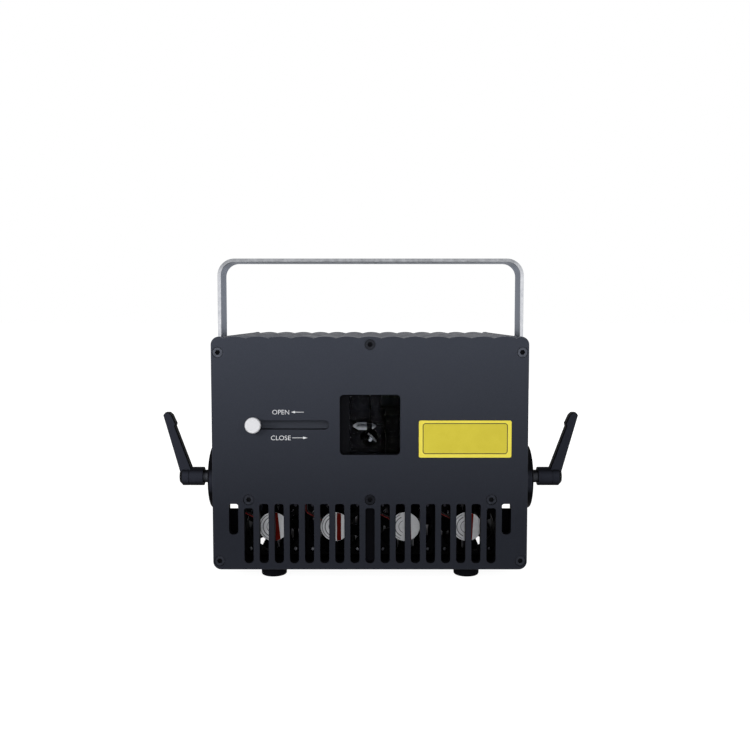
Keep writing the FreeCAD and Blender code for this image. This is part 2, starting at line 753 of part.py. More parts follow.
def housing_inside(y):
    wall = INNER_HALF
    boss = INNER_HALF - CORNER_BOSS_WIDTH
    ceiling = PANEL_HEIGHT - HOUSING_TOP_WALL
    half = TOP_BOSS_WIDTH / 2
    right = [
        (boss, BASE_THICKNESS),
        (boss, BASE_THICKNESS + CORNER_BOSS_HEIGHT),
        (wall, BASE_THICKNESS + CORNER_BOSS_HEIGHT),
        (wall, ceiling - CORNER_BOSS_HEIGHT),
        (boss, ceiling - CORNER_BOSS_HEIGHT),
        (boss, ceiling),
        (half, ceiling),
        (half, ceiling - TOP_BOSS_DROP),
    ]
    left = [(-x, height) for x, height in reversed(right)]
    return [Vector(x, y, up(height)) for x, height in right + left]


def housing():
    y = back(PANEL_BACK)
    high = up(PANEL_HEIGHT)
    radius = PANEL_CORNER_RADIUS
    wide = HOUSING_HALF
    heights = (BASE_THICKNESS, PANEL_HEIGHT - radius)
    edges = housing_side(-wide, y, -1, heights)
    edges.append(quarter(Vector(-wide, y, high - radius), Vector(-wide + radius, y, high), radius))
    edges += top_run(wide, y)
    edges.append(quarter(Vector(wide - radius, y, high), Vector(wide, y, high - radius), radius))
    edges += housing_side(wide, y, 1, heights)
    inside = housing_inside(y)
    corners = [Vector(wide, y, up(BASE_THICKNESS))] + inside + [Vector(-wide, y, up(BASE_THICKNESS))]
    edges += [line(start, end) for start, end in zip(corners, corners[1:])]
    shell = Part.Face(Part.Wire(edges)).extrude(Vector(0, REAR_FRONT - PANEL_BACK, 0))
    pads = []
    tools = []
    bar = centred(PIVOT_DEPTH + SIDE_VENT_BAR_SETBACK, SIDE_VENT_BAR)
    full = (SIDE_VENT_LOW, SIDE_VENT_LOW + SIDE_VENT_HEIGHT)
    lowered = (SIDE_VENT_LOW, PIVOT_HEIGHT - PIVOT_PAD_RADIUS - SIDE_VENT_PAD_GAP)
    vents = (
        ((SIDE_VENT_FRONT_MARGIN, PIVOT_DEPTH - PIVOT_PAD_RADIUS - SIDE_VENT_PIVOT_GAP), full),
        ((SIDE_VENT_FRONT_MARGIN, bar[0]), lowered),
        ((bar[1], CASE_DEPTH - SIDE_VENT_REAR_MARGIN), full),
    )
    for side in SIDES:
        pad = (side * INNER_HALF, side * PAD_FACE)
        pads.append(rod_x(PIVOT_PAD_RADIUS, pad, PIVOT_DEPTH, PIVOT_HEIGHT))
        across = sorted((side * (INNER_HALF - CUT_OVERRUN), side * (PAD_FACE + CUT_OVERRUN)))
        tools.append(rod_x(STUD_HOLE_RADIUS, across, PIVOT_DEPTH, PIVOT_HEIGHT))
        for depths, heights in vents:
            tools.append(rounded(across, depths, heights, SIDE_VENT_RADIUS, Vector(1, 0, 0)))
    places = [place for place in screw_places() if place[1] != SCREW_MIDDLE_HEIGHT]
    return joined([shell] + pads).cut(tools + grip_holes(places))


def base_plate():
    plate = box((-HOUSING_HALF, HOUSING_HALF), (PANEL_BACK, REAR_FRONT), (0, BASE_THICKNESS))
    tools = []
    heights = past((0, BASE_THICKNESS))
    front = (BASE_VENT_DEPTH, BASE_VENT_DEPTH + BASE_VENT_LENGTH)
    rear = (CASE_DEPTH - front[1], CASE_DEPTH - front[0])
    for side in SIDES:
        for step in range(BASE_VENT_COUNT):
            across = centred(side * (BASE_VENT_FIRST_X + step * BASE_VENT_PITCH), BASE_VENT_WIDTH)
            for depths in (front, rear):
                tools.append(rounded(across, depths, heights, BASE_VENT_RADIUS, Vector(0, 0, 1)))
    return plate.cut(tools)


def foot(x, depth):
    base = Vector(x, back(depth), 0)
    cone = Part.makeCone(FOOT_BOTTOM_RADIUS, FOOT_TOP_RADIUS, FOOT_HEIGHT, base, Vector(0, 0, 1))
    rim = [edge for edge in cone.Edges if edge.BoundBox.ZMax < FOOT_EDGE_RADIUS]
    return cone.makeFillet(FOOT_EDGE_RADIUS, rim)


def feet():
    shapes = []
    for side in SIDES:
        for depth in (FOOT_INSET, CASE_DEPTH - FOOT_INSET):
            shapes.append(foot(side * FOOT_X, depth))
    return Part.makeCompound(shapes)


def optics_plate():
    plate = box((-PLATE_HALF, PLATE_HALF), (PANEL_BACK, REAR_FRONT), (OPTICS_PLATE_LOW, PLATE_HIGH))
    tools = grip_holes([(x, SCREW_MIDDLE_HEIGHT) for x in (-SCREW_MIDDLE_X, 0, SCREW_MIDDLE_X)])
    heights = past((OPTICS_PLATE_LOW, PLATE_HIGH))
    length = PIVOT_BLOCK_LENGTH + FIXED_CLEARANCE * 2
    inner = INNER_HALF - PIVOT_BLOCK_WIDTH - FIXED_CLEARANCE
    for side in SIDES:
        across = sorted((side * inner, side * HOUSING_HALF))
        tools.append(box(across, centred(PIVOT_DEPTH, length), heights))
    return plate.cut(tools)


def pivot_block():
    across = (INNER_HALF - PIVOT_BLOCK_WIDTH, INNER_HALF)
    heights = centred(PIVOT_HEIGHT, PIVOT_BLOCK_HEIGHT)
    block = box(across, centred(PIVOT_DEPTH, PIVOT_BLOCK_LENGTH), heights)
    return block.cut(rod_x(STUD_RADIUS + RUNNING_CLEARANCE, past(across), PIVOT_DEPTH, PIVOT_HEIGHT))


# Shutter and aperture

def shutter_plate():
    across = (SHUTTER_RIGHT - SHUTTER_LENGTH, SHUTTER_RIGHT)
    depths = (SHUTTER_DEPTH, SHUTTER_DEPTH + SHUTTER_THICKNESS)
    return box(across, depths, centred(APERTURE_CENTRE_HEIGHT, SHUTTER_HALF_HEIGHT * 2))


def shutter_knob():
    x = SHUTTER_SLOT_LEFT + SHUTTER_SLOT_WIDTH / 2
    cap = rod_y(KNOB_RADIUS, (-KNOB_REACH, -KNOB_GAP), x, APERTURE_CENTRE_HEIGHT)
    rims = [edge for edge in cap.Edges if edge.Curve.TypeId == "Part::GeomCircle"]
    cap = cap.makeChamfer(KNOB_EDGE, rims)
    stem = rod_y(KNOB_STEM_RADIUS, (-KNOB_GAP, SHUTTER_DEPTH), x, APERTURE_CENTRE_HEIGHT)
    return joined([cap, stem])


def shutter_rail(sign):
    edge = APERTURE_CENTRE_HEIGHT + sign * (SHUTTER_HALF_HEIGHT + SLIDE_CLEARANCE)
    outer = edge + sign * RAIL_HEIGHT
    lip = edge - sign * (SLIDE_CLEARANCE + RAIL_LIP_COVER)
    across = (RAIL_LEFT, RAIL_RIGHT)
    spacer = box(across, (PANEL_BACK, LIP_DEPTH), sorted((edge, outer)))
    cover = box(across, (LIP_DEPTH, GLASS_DEPTH), sorted((lip, outer)))
    return joined([spacer, cover])


def aperture_glass():
    tall = APERTURE_HEIGHT + GLASS_MARGIN * 2
    depths = (GLASS_DEPTH, GLASS_DEPTH + GLASS_THICKNESS)
    return box(centred(0, GLASS_WIDTH), depths, centred(APERTURE_CENTRE_HEIGHT, tall))


def blank_plate():
    across = (LABEL_LEFT, LABEL_RIGHT)
    return rounded_y(across, (-LABEL_THICKNESS, 0), (LABEL_LOW, LABEL_HIGH), LABEL_RADIUS)


# Yoke and clamps

def strap_edges(half, top, radius, low, y):
    left_low = Vector(-half, y, low)
    left_high = Vector(-half, y, top - radius)
    left_top = Vector(-half + radius, y, top)
    right_top = Vector(half - radius, y, top)
    right_high = Vector(half, y, top - radius)
    right_low = Vector(half, y, low)
    return [
        line(left_low, left_high),
        quarter(left_high, left_top, radius),
        line(left_top, right_top),
        quarter(right_top, right_high, radius),
        line(right_high, right_low),
    ]


def yoke_bracket():
    depths = centred(PIVOT_DEPTH, YOKE_STRAP_WIDTH)
    y = back(depths[0])
    low = up(PIVOT_HEIGHT - YOKE_STRAP_WIDTH / 2)
    top = up(YOKE_TOP_HEIGHT)
    outer = strap_edges(YOKE_HALF, top, YOKE_BEND_RADIUS, low, y)
    inner = strap_edges(YOKE_INNER, top - YOKE_THICKNESS, YOKE_BEND_RADIUS - YOKE_THICKNESS, low, y)
    left = line(Vector(-YOKE_HALF, y, low), Vector(-YOKE_INNER, y, low))
    right = line(Vector(YOKE_HALF, y, low), Vector(YOKE_INNER, y, low))
    wire = Part.Wire(Part.__sortEdges__(outer + [right] + inner + [left]))
    strap = Part.Face(wire).extrude(Vector(0, YOKE_STRAP_WIDTH, 0))
    across = past((-YOKE_HALF, YOKE_HALF))
    round_end = rod_x(YOKE_STRAP_WIDTH / 2, across, PIVOT_DEPTH, PIVOT_HEIGHT)
    above = box(across, depths, (PIVOT_HEIGHT, YOKE_TOP_HEIGHT))
    strap = strap.common(round_end.fuse(above)).removeSplitter()
    rims = []
    for edge in strap.Edges:
        bounds = edge.BoundBox
        if bounds.YLength < YOKE_EDGE_RADIUS and bounds.ZMax - low > YOKE_STRAP_WIDTH:
            rims.append(edge)
    strap = strap.makeFillet(YOKE_EDGE_RADIUS, rims)
    bar = past((YOKE_TOP_HEIGHT - YOKE_THICKNESS, YOKE_TOP_HEIGHT))
    tools = [rod_x(STUD_HOLE_RADIUS, across, PIVOT_DEPTH, PIVOT_HEIGHT)]
    tools.append(rod_z(YOKE_MOUNT_RADIUS, bar, 0, PIVOT_DEPTH))
    return strap.cut(tools)


def yoke_bush():
    across = (PAD_FACE, YOKE_INNER - FACE_CLEARANCE)
    bush = rod_x(BUSH_RADIUS, across, PIVOT_DEPTH, PIVOT_HEIGHT)
    return bush.cut(rod_x(STUD_HOLE_RADIUS, past(across), PIVOT_DEPTH, PIVOT_HEIGHT))


def pivot_disc():
    across = (YOKE_HALF, DISC_FACE)
    disc = rod_x(DISC_RADIUS, across, PIVOT_DEPTH, PIVOT_HEIGHT)
    rims = [edge for edge in disc.Edges if edge.Curve.TypeId == "Part::GeomCircle"]
    disc = disc.makeFillet(DISC_EDGE_RADIUS, rims)
    return disc.cut(rod_x(STUD_HOLE_RADIUS, past(across), PIVOT_DEPTH, PIVOT_HEIGHT))


def clamp_stud():
    start = INNER_HALF - PIVOT_BLOCK_WIDTH
    neck_end = NECK_START + NECK_LENGTH
    shaft = rod_x(STUD_RADIUS, (start, NECK_START), PIVOT_DEPTH, PIVOT_HEIGHT)
    neck = rod_x(NECK_RADIUS, (NECK_START, neck_end), PIVOT_DEPTH, PIVOT_HEIGHT)
    insert = rod_x(INSERT_RADIUS, (neck_end, neck_end + INSERT_LENGTH), PIVOT_DEPTH, PIVOT_HEIGHT)
    return joined([shaft, neck, insert])


def clamp_lever():
    hub = rod_x(HUB_RADIUS, (HUB_START, HUB_END), PIVOT_DEPTH, PIVOT_HEIGHT)
    outer_rim = [edge for edge in hub.Edges if edge.BoundBox.XMin > HUB_END - HUB_CHAMFER]
    hub = hub.makeChamfer(HUB_CHAMFER, outer_rim)
    groove_start = HUB_START + HUB_GROOVE_START
    groove = (groove_start, groove_start + HUB_GROOVE_WIDTH)
    ring = rod_x(HUB_RADIUS + CUT_OVERRUN, groove, PIVOT_DEPTH, PIVOT_HEIGHT)
    ring = ring.cut(rod_x(HUB_RADIUS - HUB_GROOVE_DEPTH, past(groove), PIVOT_DEPTH, PIVOT_HEIGHT))
    hub = hub.cut(ring)
    profile = [
        (ARM_ROOT_INNER, 0),
        (ARM_ROOT_INNER, ARM_ROOT_RISE),
        (ARM_WAIST_INNER, ARM_WAIST_RISE),
        (ARM_PAD_INNER, ARM_PAD_RISE),
        (ARM_TIP_INNER, ARM_TIP_SHOULDER_RISE),
        (ARM_TIP_INNER_CREST, ARM_TIP_RISE),
        (ARM_TIP_OUTER_CREST, ARM_TIP_RISE),
        (ARM_TIP_OUTER, ARM_TIP_SHOULDER_RISE),
        (HUB_LENGTH, ARM_ROOT_RISE),
        (HUB_LENGTH - HUB_CHAMFER, 0),
        (ARM_ROOT_INNER, 0),
    ]
    y = back(PIVOT_DEPTH - ARM_THICKNESS / 2)
    points = [Vector(HUB_START + out, y, up(PIVOT_HEIGHT + rise)) for out, rise in profile]
    arm = Part.Face(Part.makePolygon(points)).extrude(Vector(0, ARM_THICKNESS, 0))
    above = up(PIVOT_HEIGHT) + ARM_ROOT_RISE / 2
    flat = [edge for edge in arm.Edges if edge.BoundBox.YLength < ARM_EDGE_RADIUS]
    rims = [edge for edge in flat if edge.BoundBox.ZMax > above]
    arm = arm.makeFillet(ARM_EDGE_RADIUS, rims)
    bore_end = NECK_START + NECK_LENGTH + INSERT_LENGTH + HUB_BORE_SPARE
    across = (HUB_START - CUT_OVERRUN, bore_end)
    bore = rod_x(INSERT_RADIUS + RUNNING_CLEARANCE, across, PIVOT_DEPTH, PIVOT_HEIGHT)
    return joined([hub, arm]).cut(bore)


# Fans

def strut_angles():
    return [FAN_STRUT_ANGLE + 360 / FAN_STRUT_COUNT * step for step in range(FAN_STRUT_COUNT)]


def fan_frame(x):
    depths = (FAN_DEPTH, FAN_BACK)
    through = past(depths)
    frame = rounded_y(centred(x, FAN_SIZE), depths, centred(FAN_HEIGHT, FAN_SIZE), FAN_CORNER_RADIUS)
    tools = [rod_y(FAN_DUCT_RADIUS, through, x, FAN_HEIGHT)]
    for side_x in SIDES:
        for side_z in SIDES:
            hole_x = x + side_x * FAN_HOLE_PITCH / 2
            hole_z = FAN_HEIGHT + side_z * FAN_HOLE_PITCH / 2
            tools.append(rod_y(FAN_SCREW_SHANK_RADIUS + FIXED_CLEARANCE, through, hole_x, hole_z))
    frame = frame.cut(tools)
    motor_end = FAN_DEPTH + FAN_MOTOR_THICKNESS
    pieces = [frame, rod_y(FAN_MOTOR_RADIUS, (FAN_DEPTH, motor_end), x, FAN_HEIGHT)]
    bearing = (motor_end, FAN_BACK - FAN_END_GAP - FAN_HUB_WALL - FAN_END_GAP)
    pieces.append(rod_y(FAN_BEARING_RADIUS, bearing, x, FAN_HEIGHT))
    reach = (x, x + FAN_DUCT_RADIUS + FAN_STRUT_WIDTH / 4)
    for angle in strut_angles():
        strut = box(reach, (FAN_DEPTH, motor_end), centred(FAN_HEIGHT, FAN_STRUT_WIDTH))
        pieces.append(turned(strut, FAN_DEPTH, FAN_HEIGHT, x, Vector(0, -1, 0), angle))
    bore = rod_y(FAN_SHAFT_RADIUS + RUNNING_CLEARANCE, (FAN_DEPTH + FAN_END_GAP, FAN_BACK), x, FAN_HEIGHT)
    return joined(pieces).cut(bore)


def fan_rotor(x, phase):
    start = FAN_DEPTH + FAN_MOTOR_THICKNESS + FAN_END_GAP
    end = FAN_BACK - FAN_END_GAP
    hub = rod_y(FAN_HUB_RADIUS, (start, end), x, FAN_HEIGHT)
    hollow = rod_y(FAN_HUB_RADIUS - FAN_HUB_WALL, (start - CUT_OVERRUN, end - FAN_HUB_WALL), x, FAN_HEIGHT)
    cup = hub.cut(hollow)
    shaft = rod_y(FAN_SHAFT_RADIUS, (FAN_DEPTH + FAN_END_GAP * 2, end), x, FAN_HEIGHT)
    tip = FAN_DUCT_RADIUS - FAN_TIP_GAP
    ring = rod_y(tip, (start, end), x, FAN_HEIGHT)
    ring = ring.cut(rod_y(FAN_HUB_RADIUS - FAN_HUB_WALL / 2, past((start, end)), x, FAN_HEIGHT))
    middle = (start + end) / 2
    blades = []
    for step in range(FAN_BLADE_COUNT):
        across = (x + FAN_HUB_RADIUS / 2, x + FAN_DUCT_RADIUS)
        blade = box(across, centred(middle, FAN_BLADE_THICKNESS), centred(FAN_HEIGHT, FAN_BLADE_CHORD))
        blade = turned(blade, middle, FAN_HEIGHT, x, Vector(1, 0, 0), FAN_BLADE_ANGLE)
        around = phase + 360 / FAN_BLADE_COUNT * step
        blade = turned(blade, middle, FAN_HEIGHT, x, Vector(0, 1, 0), around)
        blades.append(blade.common(ring))
    return joined([cup, shaft] + blades)


def fan_labels():
    depths = (FAN_DEPTH - FAN_LABEL_THICKNESS, FAN_DEPTH)
    return Part.makeCompound([rod_y(FAN_LABEL_RADIUS, depths, x, FAN_HEIGHT) for x in FAN_PLACES])


def fan_screws():
    shapes = []
    for x in FAN_PLACES:
        for side_x in SIDES:
            for side_z in SIDES:
                place = (x + side_x * FAN_HOLE_PITCH / 2, FAN_HEIGHT + side_z * FAN_HOLE_PITCH / 2)
                head = rod_y(FAN_SCREW_HEAD_RADIUS, (FAN_DEPTH - FAN_SCREW_HEAD_HEIGHT, FAN_DEPTH), *place)
                middle = back(FAN_DEPTH - FAN_SCREW_HEAD_HEIGHT / 2)
                rim = [edge for edge in head.Edges if edge.BoundBox.YMax < middle]
                head = head.makeFillet(FAN_SCREW_EDGE_RADIUS, rim)
                shank = rod_y(FAN_SCREW_SHANK_RADIUS, (FAN_DEPTH, FAN_BACK + BRACKET_THICKNESS), *place)
                shapes.append(joined([head, shank]))
    return Part.makeCompound(shapes)


def fan_lead(x, step):
    angle = math.radians(FAN_STRUT_ANGLE)
    y = back(FAN_DEPTH - LEAD_RADIUS - FACE_CLEARANCE)
    centre = Vector(x, y, up(FAN_HEIGHT))
    run = Vector(math.cos(angle), 0, math.sin(angle))
    rise = Vector(0, 0, 1)
    run_side = Vector(run.z, 0, -run.x)
    rise_side = Vector(1, 0, 0)
    start = centre + run * (FAN_LABEL_RADIUS + LEAD_RADIUS) + run_side * step
    reach = (FAN_SIZE / 2 + LEAD_SIDE_GAP) / abs(run.x)
    corner = centre + run * reach + (run_side + rise_side) * (step / (1 + run_side.dot(rise_side)))
    end = Vector(corner.x, y, up(OPTICS_PLATE_LOW))
    half_turn = (math.pi / 2 - (math.pi - angle)) / 2
    set_back = LEAD_BEND * math.tan(half_turn)
    bend_start = corner - run * set_back
    bend_end = corner + rise * set_back
    toward = (rise - run).normalize()
    apex = corner + toward * (LEAD_BEND / math.cos(half_turn) - LEAD_BEND)
    bend = Part.Arc(bend_start, apex, bend_end).toShape()
    path = Part.Wire([line(start, bend_start), bend, line(bend_end, end)])
    ring = Part.Wire([Part.makeCircle(LEAD_RADIUS, start, run)])
    return path.makePipeShell([ring], True, False)


def fan_leads(step):
    return Part.makeCompound([fan_lead(x, step) for x in FAN_PLACES])


def fan_bracket():
    depths = (FAN_BACK, FAN_BACK + BRACKET_THICKNESS)
    half = FAN_OUTER_X + FAN_SIZE / 2 + BRACKET_GAP + BRACKET_THICKNESS
    pieces = [box((-half, half), depths, (BASE_THICKNESS, OPTICS_PLATE_LOW))]
    heights = (BASE_THICKNESS + CORNER_BOSS_HEIGHT + BRACKET_GAP, BRACKET_EAR_HIGH)
    for side in SIDES:
        arm = sorted((side * (half - BRACKET_THICKNESS), side * half))
        ear = sorted((side * (half - BRACKET_THICKNESS), side * (INNER_HALF - BRACKET_GAP)))
        pieces.append(box(arm, (FAN_DEPTH, depths[1]), heights))
        pieces.append(box(ear, (FAN_DEPTH, FAN_DEPTH + BRACKET_THICKNESS), heights))
    plate = joined(pieces)
    tools = []
    for x in FAN_PLACES:
        tools.append(rod_y(FAN_DUCT_RADIUS, past(depths), x, FAN_HEIGHT))
        for side_x in SIDES:
            for side_z in SIDES:
                hole_x = x + side_x * FAN_HOLE_PITCH / 2
                hole_z = FAN_HEIGHT + side_z * FAN_HOLE_PITCH / 2
                tools.append(rod_y(FAN_SCREW_SHANK_RADIUS + FIXED_CLEARANCE, past(depths), hole_x, hole_z))
    return plate.cut(tools)


def centre_post():
    return box(centred(0, POST_WIDTH), (PANEL_BACK, FAN_BACK), (BASE_THICKNESS, OPTICS_PLATE_LOW))


def heatsink():
    depths = (SINK_DEPTH, SINK_DEPTH + SINK_LENGTH)
    under = OPTICS_PLATE_LOW - SINK_BASE_THICKNESS
    pieces = [box(centred(0, SINK_WIDTH), depths, (under, OPTICS_PLATE_LOW))]
    pitch = (SINK_WIDTH - SINK_FIN_THICKNESS) / (SINK_FIN_COUNT - 1)
    first = (SINK_FIN_THICKNESS - SINK_WIDTH) / 2
    for step in range(SINK_FIN_COUNT):
        across = centred(first + pitch * step, SINK_FIN_THICKNESS)
        pieces.append(box(across, depths, (BASE_THICKNESS + SINK_FLOOR_GAP, under)))
    return joined(pieces)


# Scanner in the aperture

def scan_mount():
    across = (SCAN_BLOCK_LEFT, SCAN_BLOCK_RIGHT)
    depths = (SCAN_BLOCK_DEPTH, SCAN_BLOCK_DEPTH + SCAN_BLOCK_LENGTH)
    block = box(across, depths, (PLATE_HIGH, SCAN_BLOCK_HIGH))
    bore = rod_y(SCAN_MOTOR_RADIUS + FIXED_CLEARANCE, past(depths), 0, SCAN_X_HEIGHT)
    slit = box(centred(0, SCAN_SLIT_WIDTH), past(depths), (SCAN_X_HEIGHT, SCAN_BLOCK_HIGH + CUT_OVERRUN))
    return block.cut([bore, slit])


def scan_side_mount():
    across = (SCAN_SIDE_LEFT, SCAN_SIDE_LEFT + SCAN_SIDE_WIDTH)
    depths = (SCAN_SIDE_DEPTH, SCAN_BLOCK_DEPTH + SCAN_BLOCK_LENGTH)
    block = box(across, depths, (PLATE_HIGH, SCAN_SIDE_HIGH))
    bore = rod_x(SCAN_MOTOR_RADIUS + FIXED_CLEARANCE, past(across), SCAN_DEPTH, SCAN_Y_HEIGHT)
    beam = rod_x(BEAM_HOLE_RADIUS, past(across), TURN_DEPTH, BEAM_HEIGHT)
    return block.cut([bore, beam])


def scan_motor_x():
    depths = (SCAN_X_MOTOR_DEPTH, SCAN_X_MOTOR_DEPTH + SCAN_MOTOR_LENGTH)
    bearing = (depths[0] - CUT_OVERRUN, depths[0] + SCAN_BEARING_LENGTH)
    motor = rod_y(SCAN_MOTOR_RADIUS, depths, 0, SCAN_X_HEIGHT)
    return motor.cut(rod_y(SCAN_SHAFT_RADIUS + RUNNING_CLEARANCE, bearing, 0, SCAN_X_HEIGHT))


def scan_motor_y():
    across = (SCAN_Y_MOTOR_X, SCAN_Y_MOTOR_X + SCAN_MOTOR_LENGTH)
    bearing = (across[0] - CUT_OVERRUN, across[0] + SCAN_BEARING_LENGTH)
    motor = rod_x(SCAN_MOTOR_RADIUS, across, SCAN_DEPTH, SCAN_Y_HEIGHT)
    return motor.cut(rod_x(SCAN_SHAFT_RADIUS + RUNNING_CLEARANCE, bearing, SCAN_DEPTH, SCAN_Y_HEIGHT))


def mirror_offset():
    return SCAN_SHAFT_RADIUS + MIRROR_SHAFT_GAP


def scan_mirror_y():
    across = centred(MIRROR_Y_MIDDLE_X, MIRROR_Y_LENGTH)
    front = SCAN_DEPTH - mirror_offset()
    plate = box(across, (front - MIRROR_THICKNESS, front), centred(SCAN_Y_HEIGHT, MIRROR_Y_WIDTH))
    corners = [edge for edge in plate.Edges if edge.BoundBox.YLength > MIRROR_THICKNESS / 2
               and edge.BoundBox.XLength < MIRROR_THICKNESS / 2 and edge.BoundBox.ZLength < MIRROR_THICKNESS / 2]
    plate = plate.makeChamfer(MIRROR_Y_CORNER, corners)
    middle = back(front - MIRROR_THICKNESS / 2)
    rims = [edge for edge in plate.Edges if edge.BoundBox.YMax < middle]
    plate = plate.makeChamfer(MIRROR_BEVEL, rims)
    return turned(plate, SCAN_DEPTH, SCAN_Y_HEIGHT, 0, Vector(1, 0, 0), MIRROR_ANGLE)


def scan_shaft_y():
    end = SCAN_Y_MOTOR_X + SCAN_BEARING_LENGTH - SCAN_SHAFT_END_GAP
    shaft = rod_x(SCAN_SHAFT_RADIUS, (JAW_Y_X, end), SCAN_DEPTH, SCAN_Y_HEIGHT)
    seat = SCAN_DEPTH - mirror_offset()
    face = seat - MIRROR_THICKNESS
    across = (JAW_Y_X, JAW_Y_X + JAW_Y_LENGTH)
    tall = MIRROR_Y_WIDTH + JAW_LIP * 2
    jaw = box(across, (face - JAW_LIP, SCAN_DEPTH), centred(SCAN_Y_HEIGHT, tall))
    jaw = jaw.cut(box(past(across), (face, seat), centred(SCAN_Y_HEIGHT, MIRROR_Y_WIDTH)))
    jaw = turned(jaw, SCAN_DEPTH, SCAN_Y_HEIGHT, 0, Vector(1, 0, 0), MIRROR_ANGLE)
    return joined([shaft, jaw])


def mirror_x_span():
    front = SCAN_DEPTH - MIRROR_X_LENGTH / 2
    return (front, front + MIRROR_X_LENGTH)


def scan_mirror_x():
    low = SCAN_X_HEIGHT + mirror_offset()
    plate = box(centred(0, MIRROR_X_WIDTH), mirror_x_span(), (low, low + MIRROR_THICKNESS))
    return turned(plate, SCAN_DEPTH, SCAN_X_HEIGHT, 0, Vector(0, 1, 0), MIRROR_ANGLE)


def scan_shaft_x():
    span = mirror_x_span()
    end = SCAN_X_MOTOR_DEPTH + SCAN_BEARING_LENGTH - SCAN_SHAFT_END_GAP
    shaft = rod_y(SCAN_SHAFT_RADIUS, (span[0], end), 0, SCAN_X_HEIGHT)
    top = SCAN_X_HEIGHT + mirror_offset()
    jaw = box(centred(0, JAW_X_WIDTH), (span[1] - JAW_X_LENGTH, span[1]), (SCAN_X_HEIGHT, top))
    jaw = turned(jaw, SCAN_DEPTH, SCAN_X_HEIGHT, 0, Vector(0, 1, 0), MIRROR_ANGLE)
    return joined([shaft, jaw])


# Lasers and beam optics

def laser_red():
    depths = (RED_DEPTH, RED_DEPTH + RED_LENGTH)
    body = box(centred(LASER_BEAM_X, RED_WIDTH), depths, (PLATE_HIGH, LASER_HIGH))
    lens = rod_y(LASER_LENS_RADIUS, (RED_DEPTH - LASER_LENS_LENGTH, RED_DEPTH), LASER_BEAM_X, BEAM_HEIGHT)
    return joined([body, lens])


def laser_side(left, right, depth):
    body = box((left, right), (depth, depth + SIDE_LASER_WIDTH), (PLATE_HIGH, LASER_HIGH))
    middle = depth + SIDE_LASER_WIDTH / 2
    lens = rod_x(LASER_LENS_RADIUS, (right, right + LASER_LENS_LENGTH), middle, BEAM_HEIGHT)
    return joined([body, lens])


def laser_modules():
    green = laser_side(GREEN_LEFT, GREEN_RIGHT, GREEN_DEPTH)
    blue = laser_side(BLUE_LEFT, BLUE_RIGHT, BLUE_DEPTH)
    return Part.makeCompound([laser_red(), green, blue])


def fold_places():
    half = SIDE_LASER_WIDTH / 2
    beams = [(depth + half, MIRROR_ANGLE) for depth in (BLUE_DEPTH, GREEN_DEPTH)]
    return [(TURN_DEPTH, -MIRROR_ANGLE)] + beams


def fold_mirror(depth, angle):
    across = (LASER_BEAM_X, LASER_BEAM_X + FOLD_MIRROR_THICKNESS)
    plate = box(across, centred(depth, FOLD_MIRROR_WIDTH), centred(BEAM_HEIGHT, FOLD_MIRROR_HEIGHT))
    return turned(plate, depth, BEAM_HEIGHT, LASER_BEAM_X, Vector(0, 0, 1), angle)


def fold_mount(depth, angle):
    low = BEAM_HEIGHT - FOLD_MIRROR_HEIGHT / 2
    foot_block = box(centred(LASER_BEAM_X, MOUNT_SIZE), centred(depth, MOUNT_SIZE), (PLATE_HIGH, low))
    face = LASER_BEAM_X + FOLD_MIRROR_THICKNESS
    across = (face, face + MOUNT_THICKNESS)
    heights = (PLATE_HIGH, BEAM_HEIGHT - LASER_LENS_RADIUS)
    rest = box(across, centred(depth, FOLD_MIRROR_WIDTH), heights)
    rest = turned(rest, depth, BEAM_HEIGHT, LASER_BEAM_X, Vector(0, 0, 1), angle)
    return joined([foot_block, rest])


# Supplies and boards

def board_corners(across, depths):
    inset = BOARD_INSET
    spots = []
    for x in (across[0] + inset, across[1] - inset):
        for depth in (depths[0] + inset, depths[1] - inset):
            spots.append((x, depth))
    return spots


def supply_spans():
    return (SUPPLY_LEFT, SUPPLY_LEFT + SUPPLY_WIDTH), (SUPPLY_DEPTH, SUPPLY_DEPTH + SUPPLY_LENGTH)


def driver_spans():
    return (DRIVER_LEFT, DRIVER_LEFT + DRIVER_WIDTH), (DRIVER_DEPTH, DRIVER_DEPTH + DRIVER_LENGTH)


def power_supply():
    across, depths = supply_spans()
    return box(across, depths, (PLATE_HIGH, PLATE_HIGH + SUPPLY_HEIGHT))


def board(spans, low):
    across, depths = spans
    bottom = low + BOARD_STANDOFF
    return box(across, depths, (bottom, bottom + BOARD_THICKNESS))


def circuit_boards():
    control = board(supply_spans(), PLATE_HIGH + SUPPLY_HEIGHT)
    driver = board(driver_spans(), PLATE_HIGH)
    return Part.makeCompound([control, driver, button_board()])


def standoffs():
    shapes = []
    supply_top = PLATE_HIGH + SUPPLY_HEIGHT
    for spans, low in ((supply_spans(), supply_top), (driver_spans(), PLATE_HIGH)):
        for x, depth in board_corners(*spans):
            shapes.append(rod_z(STANDOFF_RADIUS, (low, low + BOARD_STANDOFF), x, depth))
    board_back = button_board_span()[1]
    for x in (BUTTON_BOARD_LEFT + BOARD_INSET, BUTTON_BOARD_RIGHT - BOARD_INSET):
        for side in SIDES:
            height = PANEL_ROW_HEIGHT + side * (BUTTON_BOARD_TALL / 2 - BOARD_INSET)
            shapes.append(rod_y(STANDOFF_RADIUS, (board_back, REAR_FRONT), x, height))
    return Part.makeCompound(shapes)


# Rear panel and its fittings

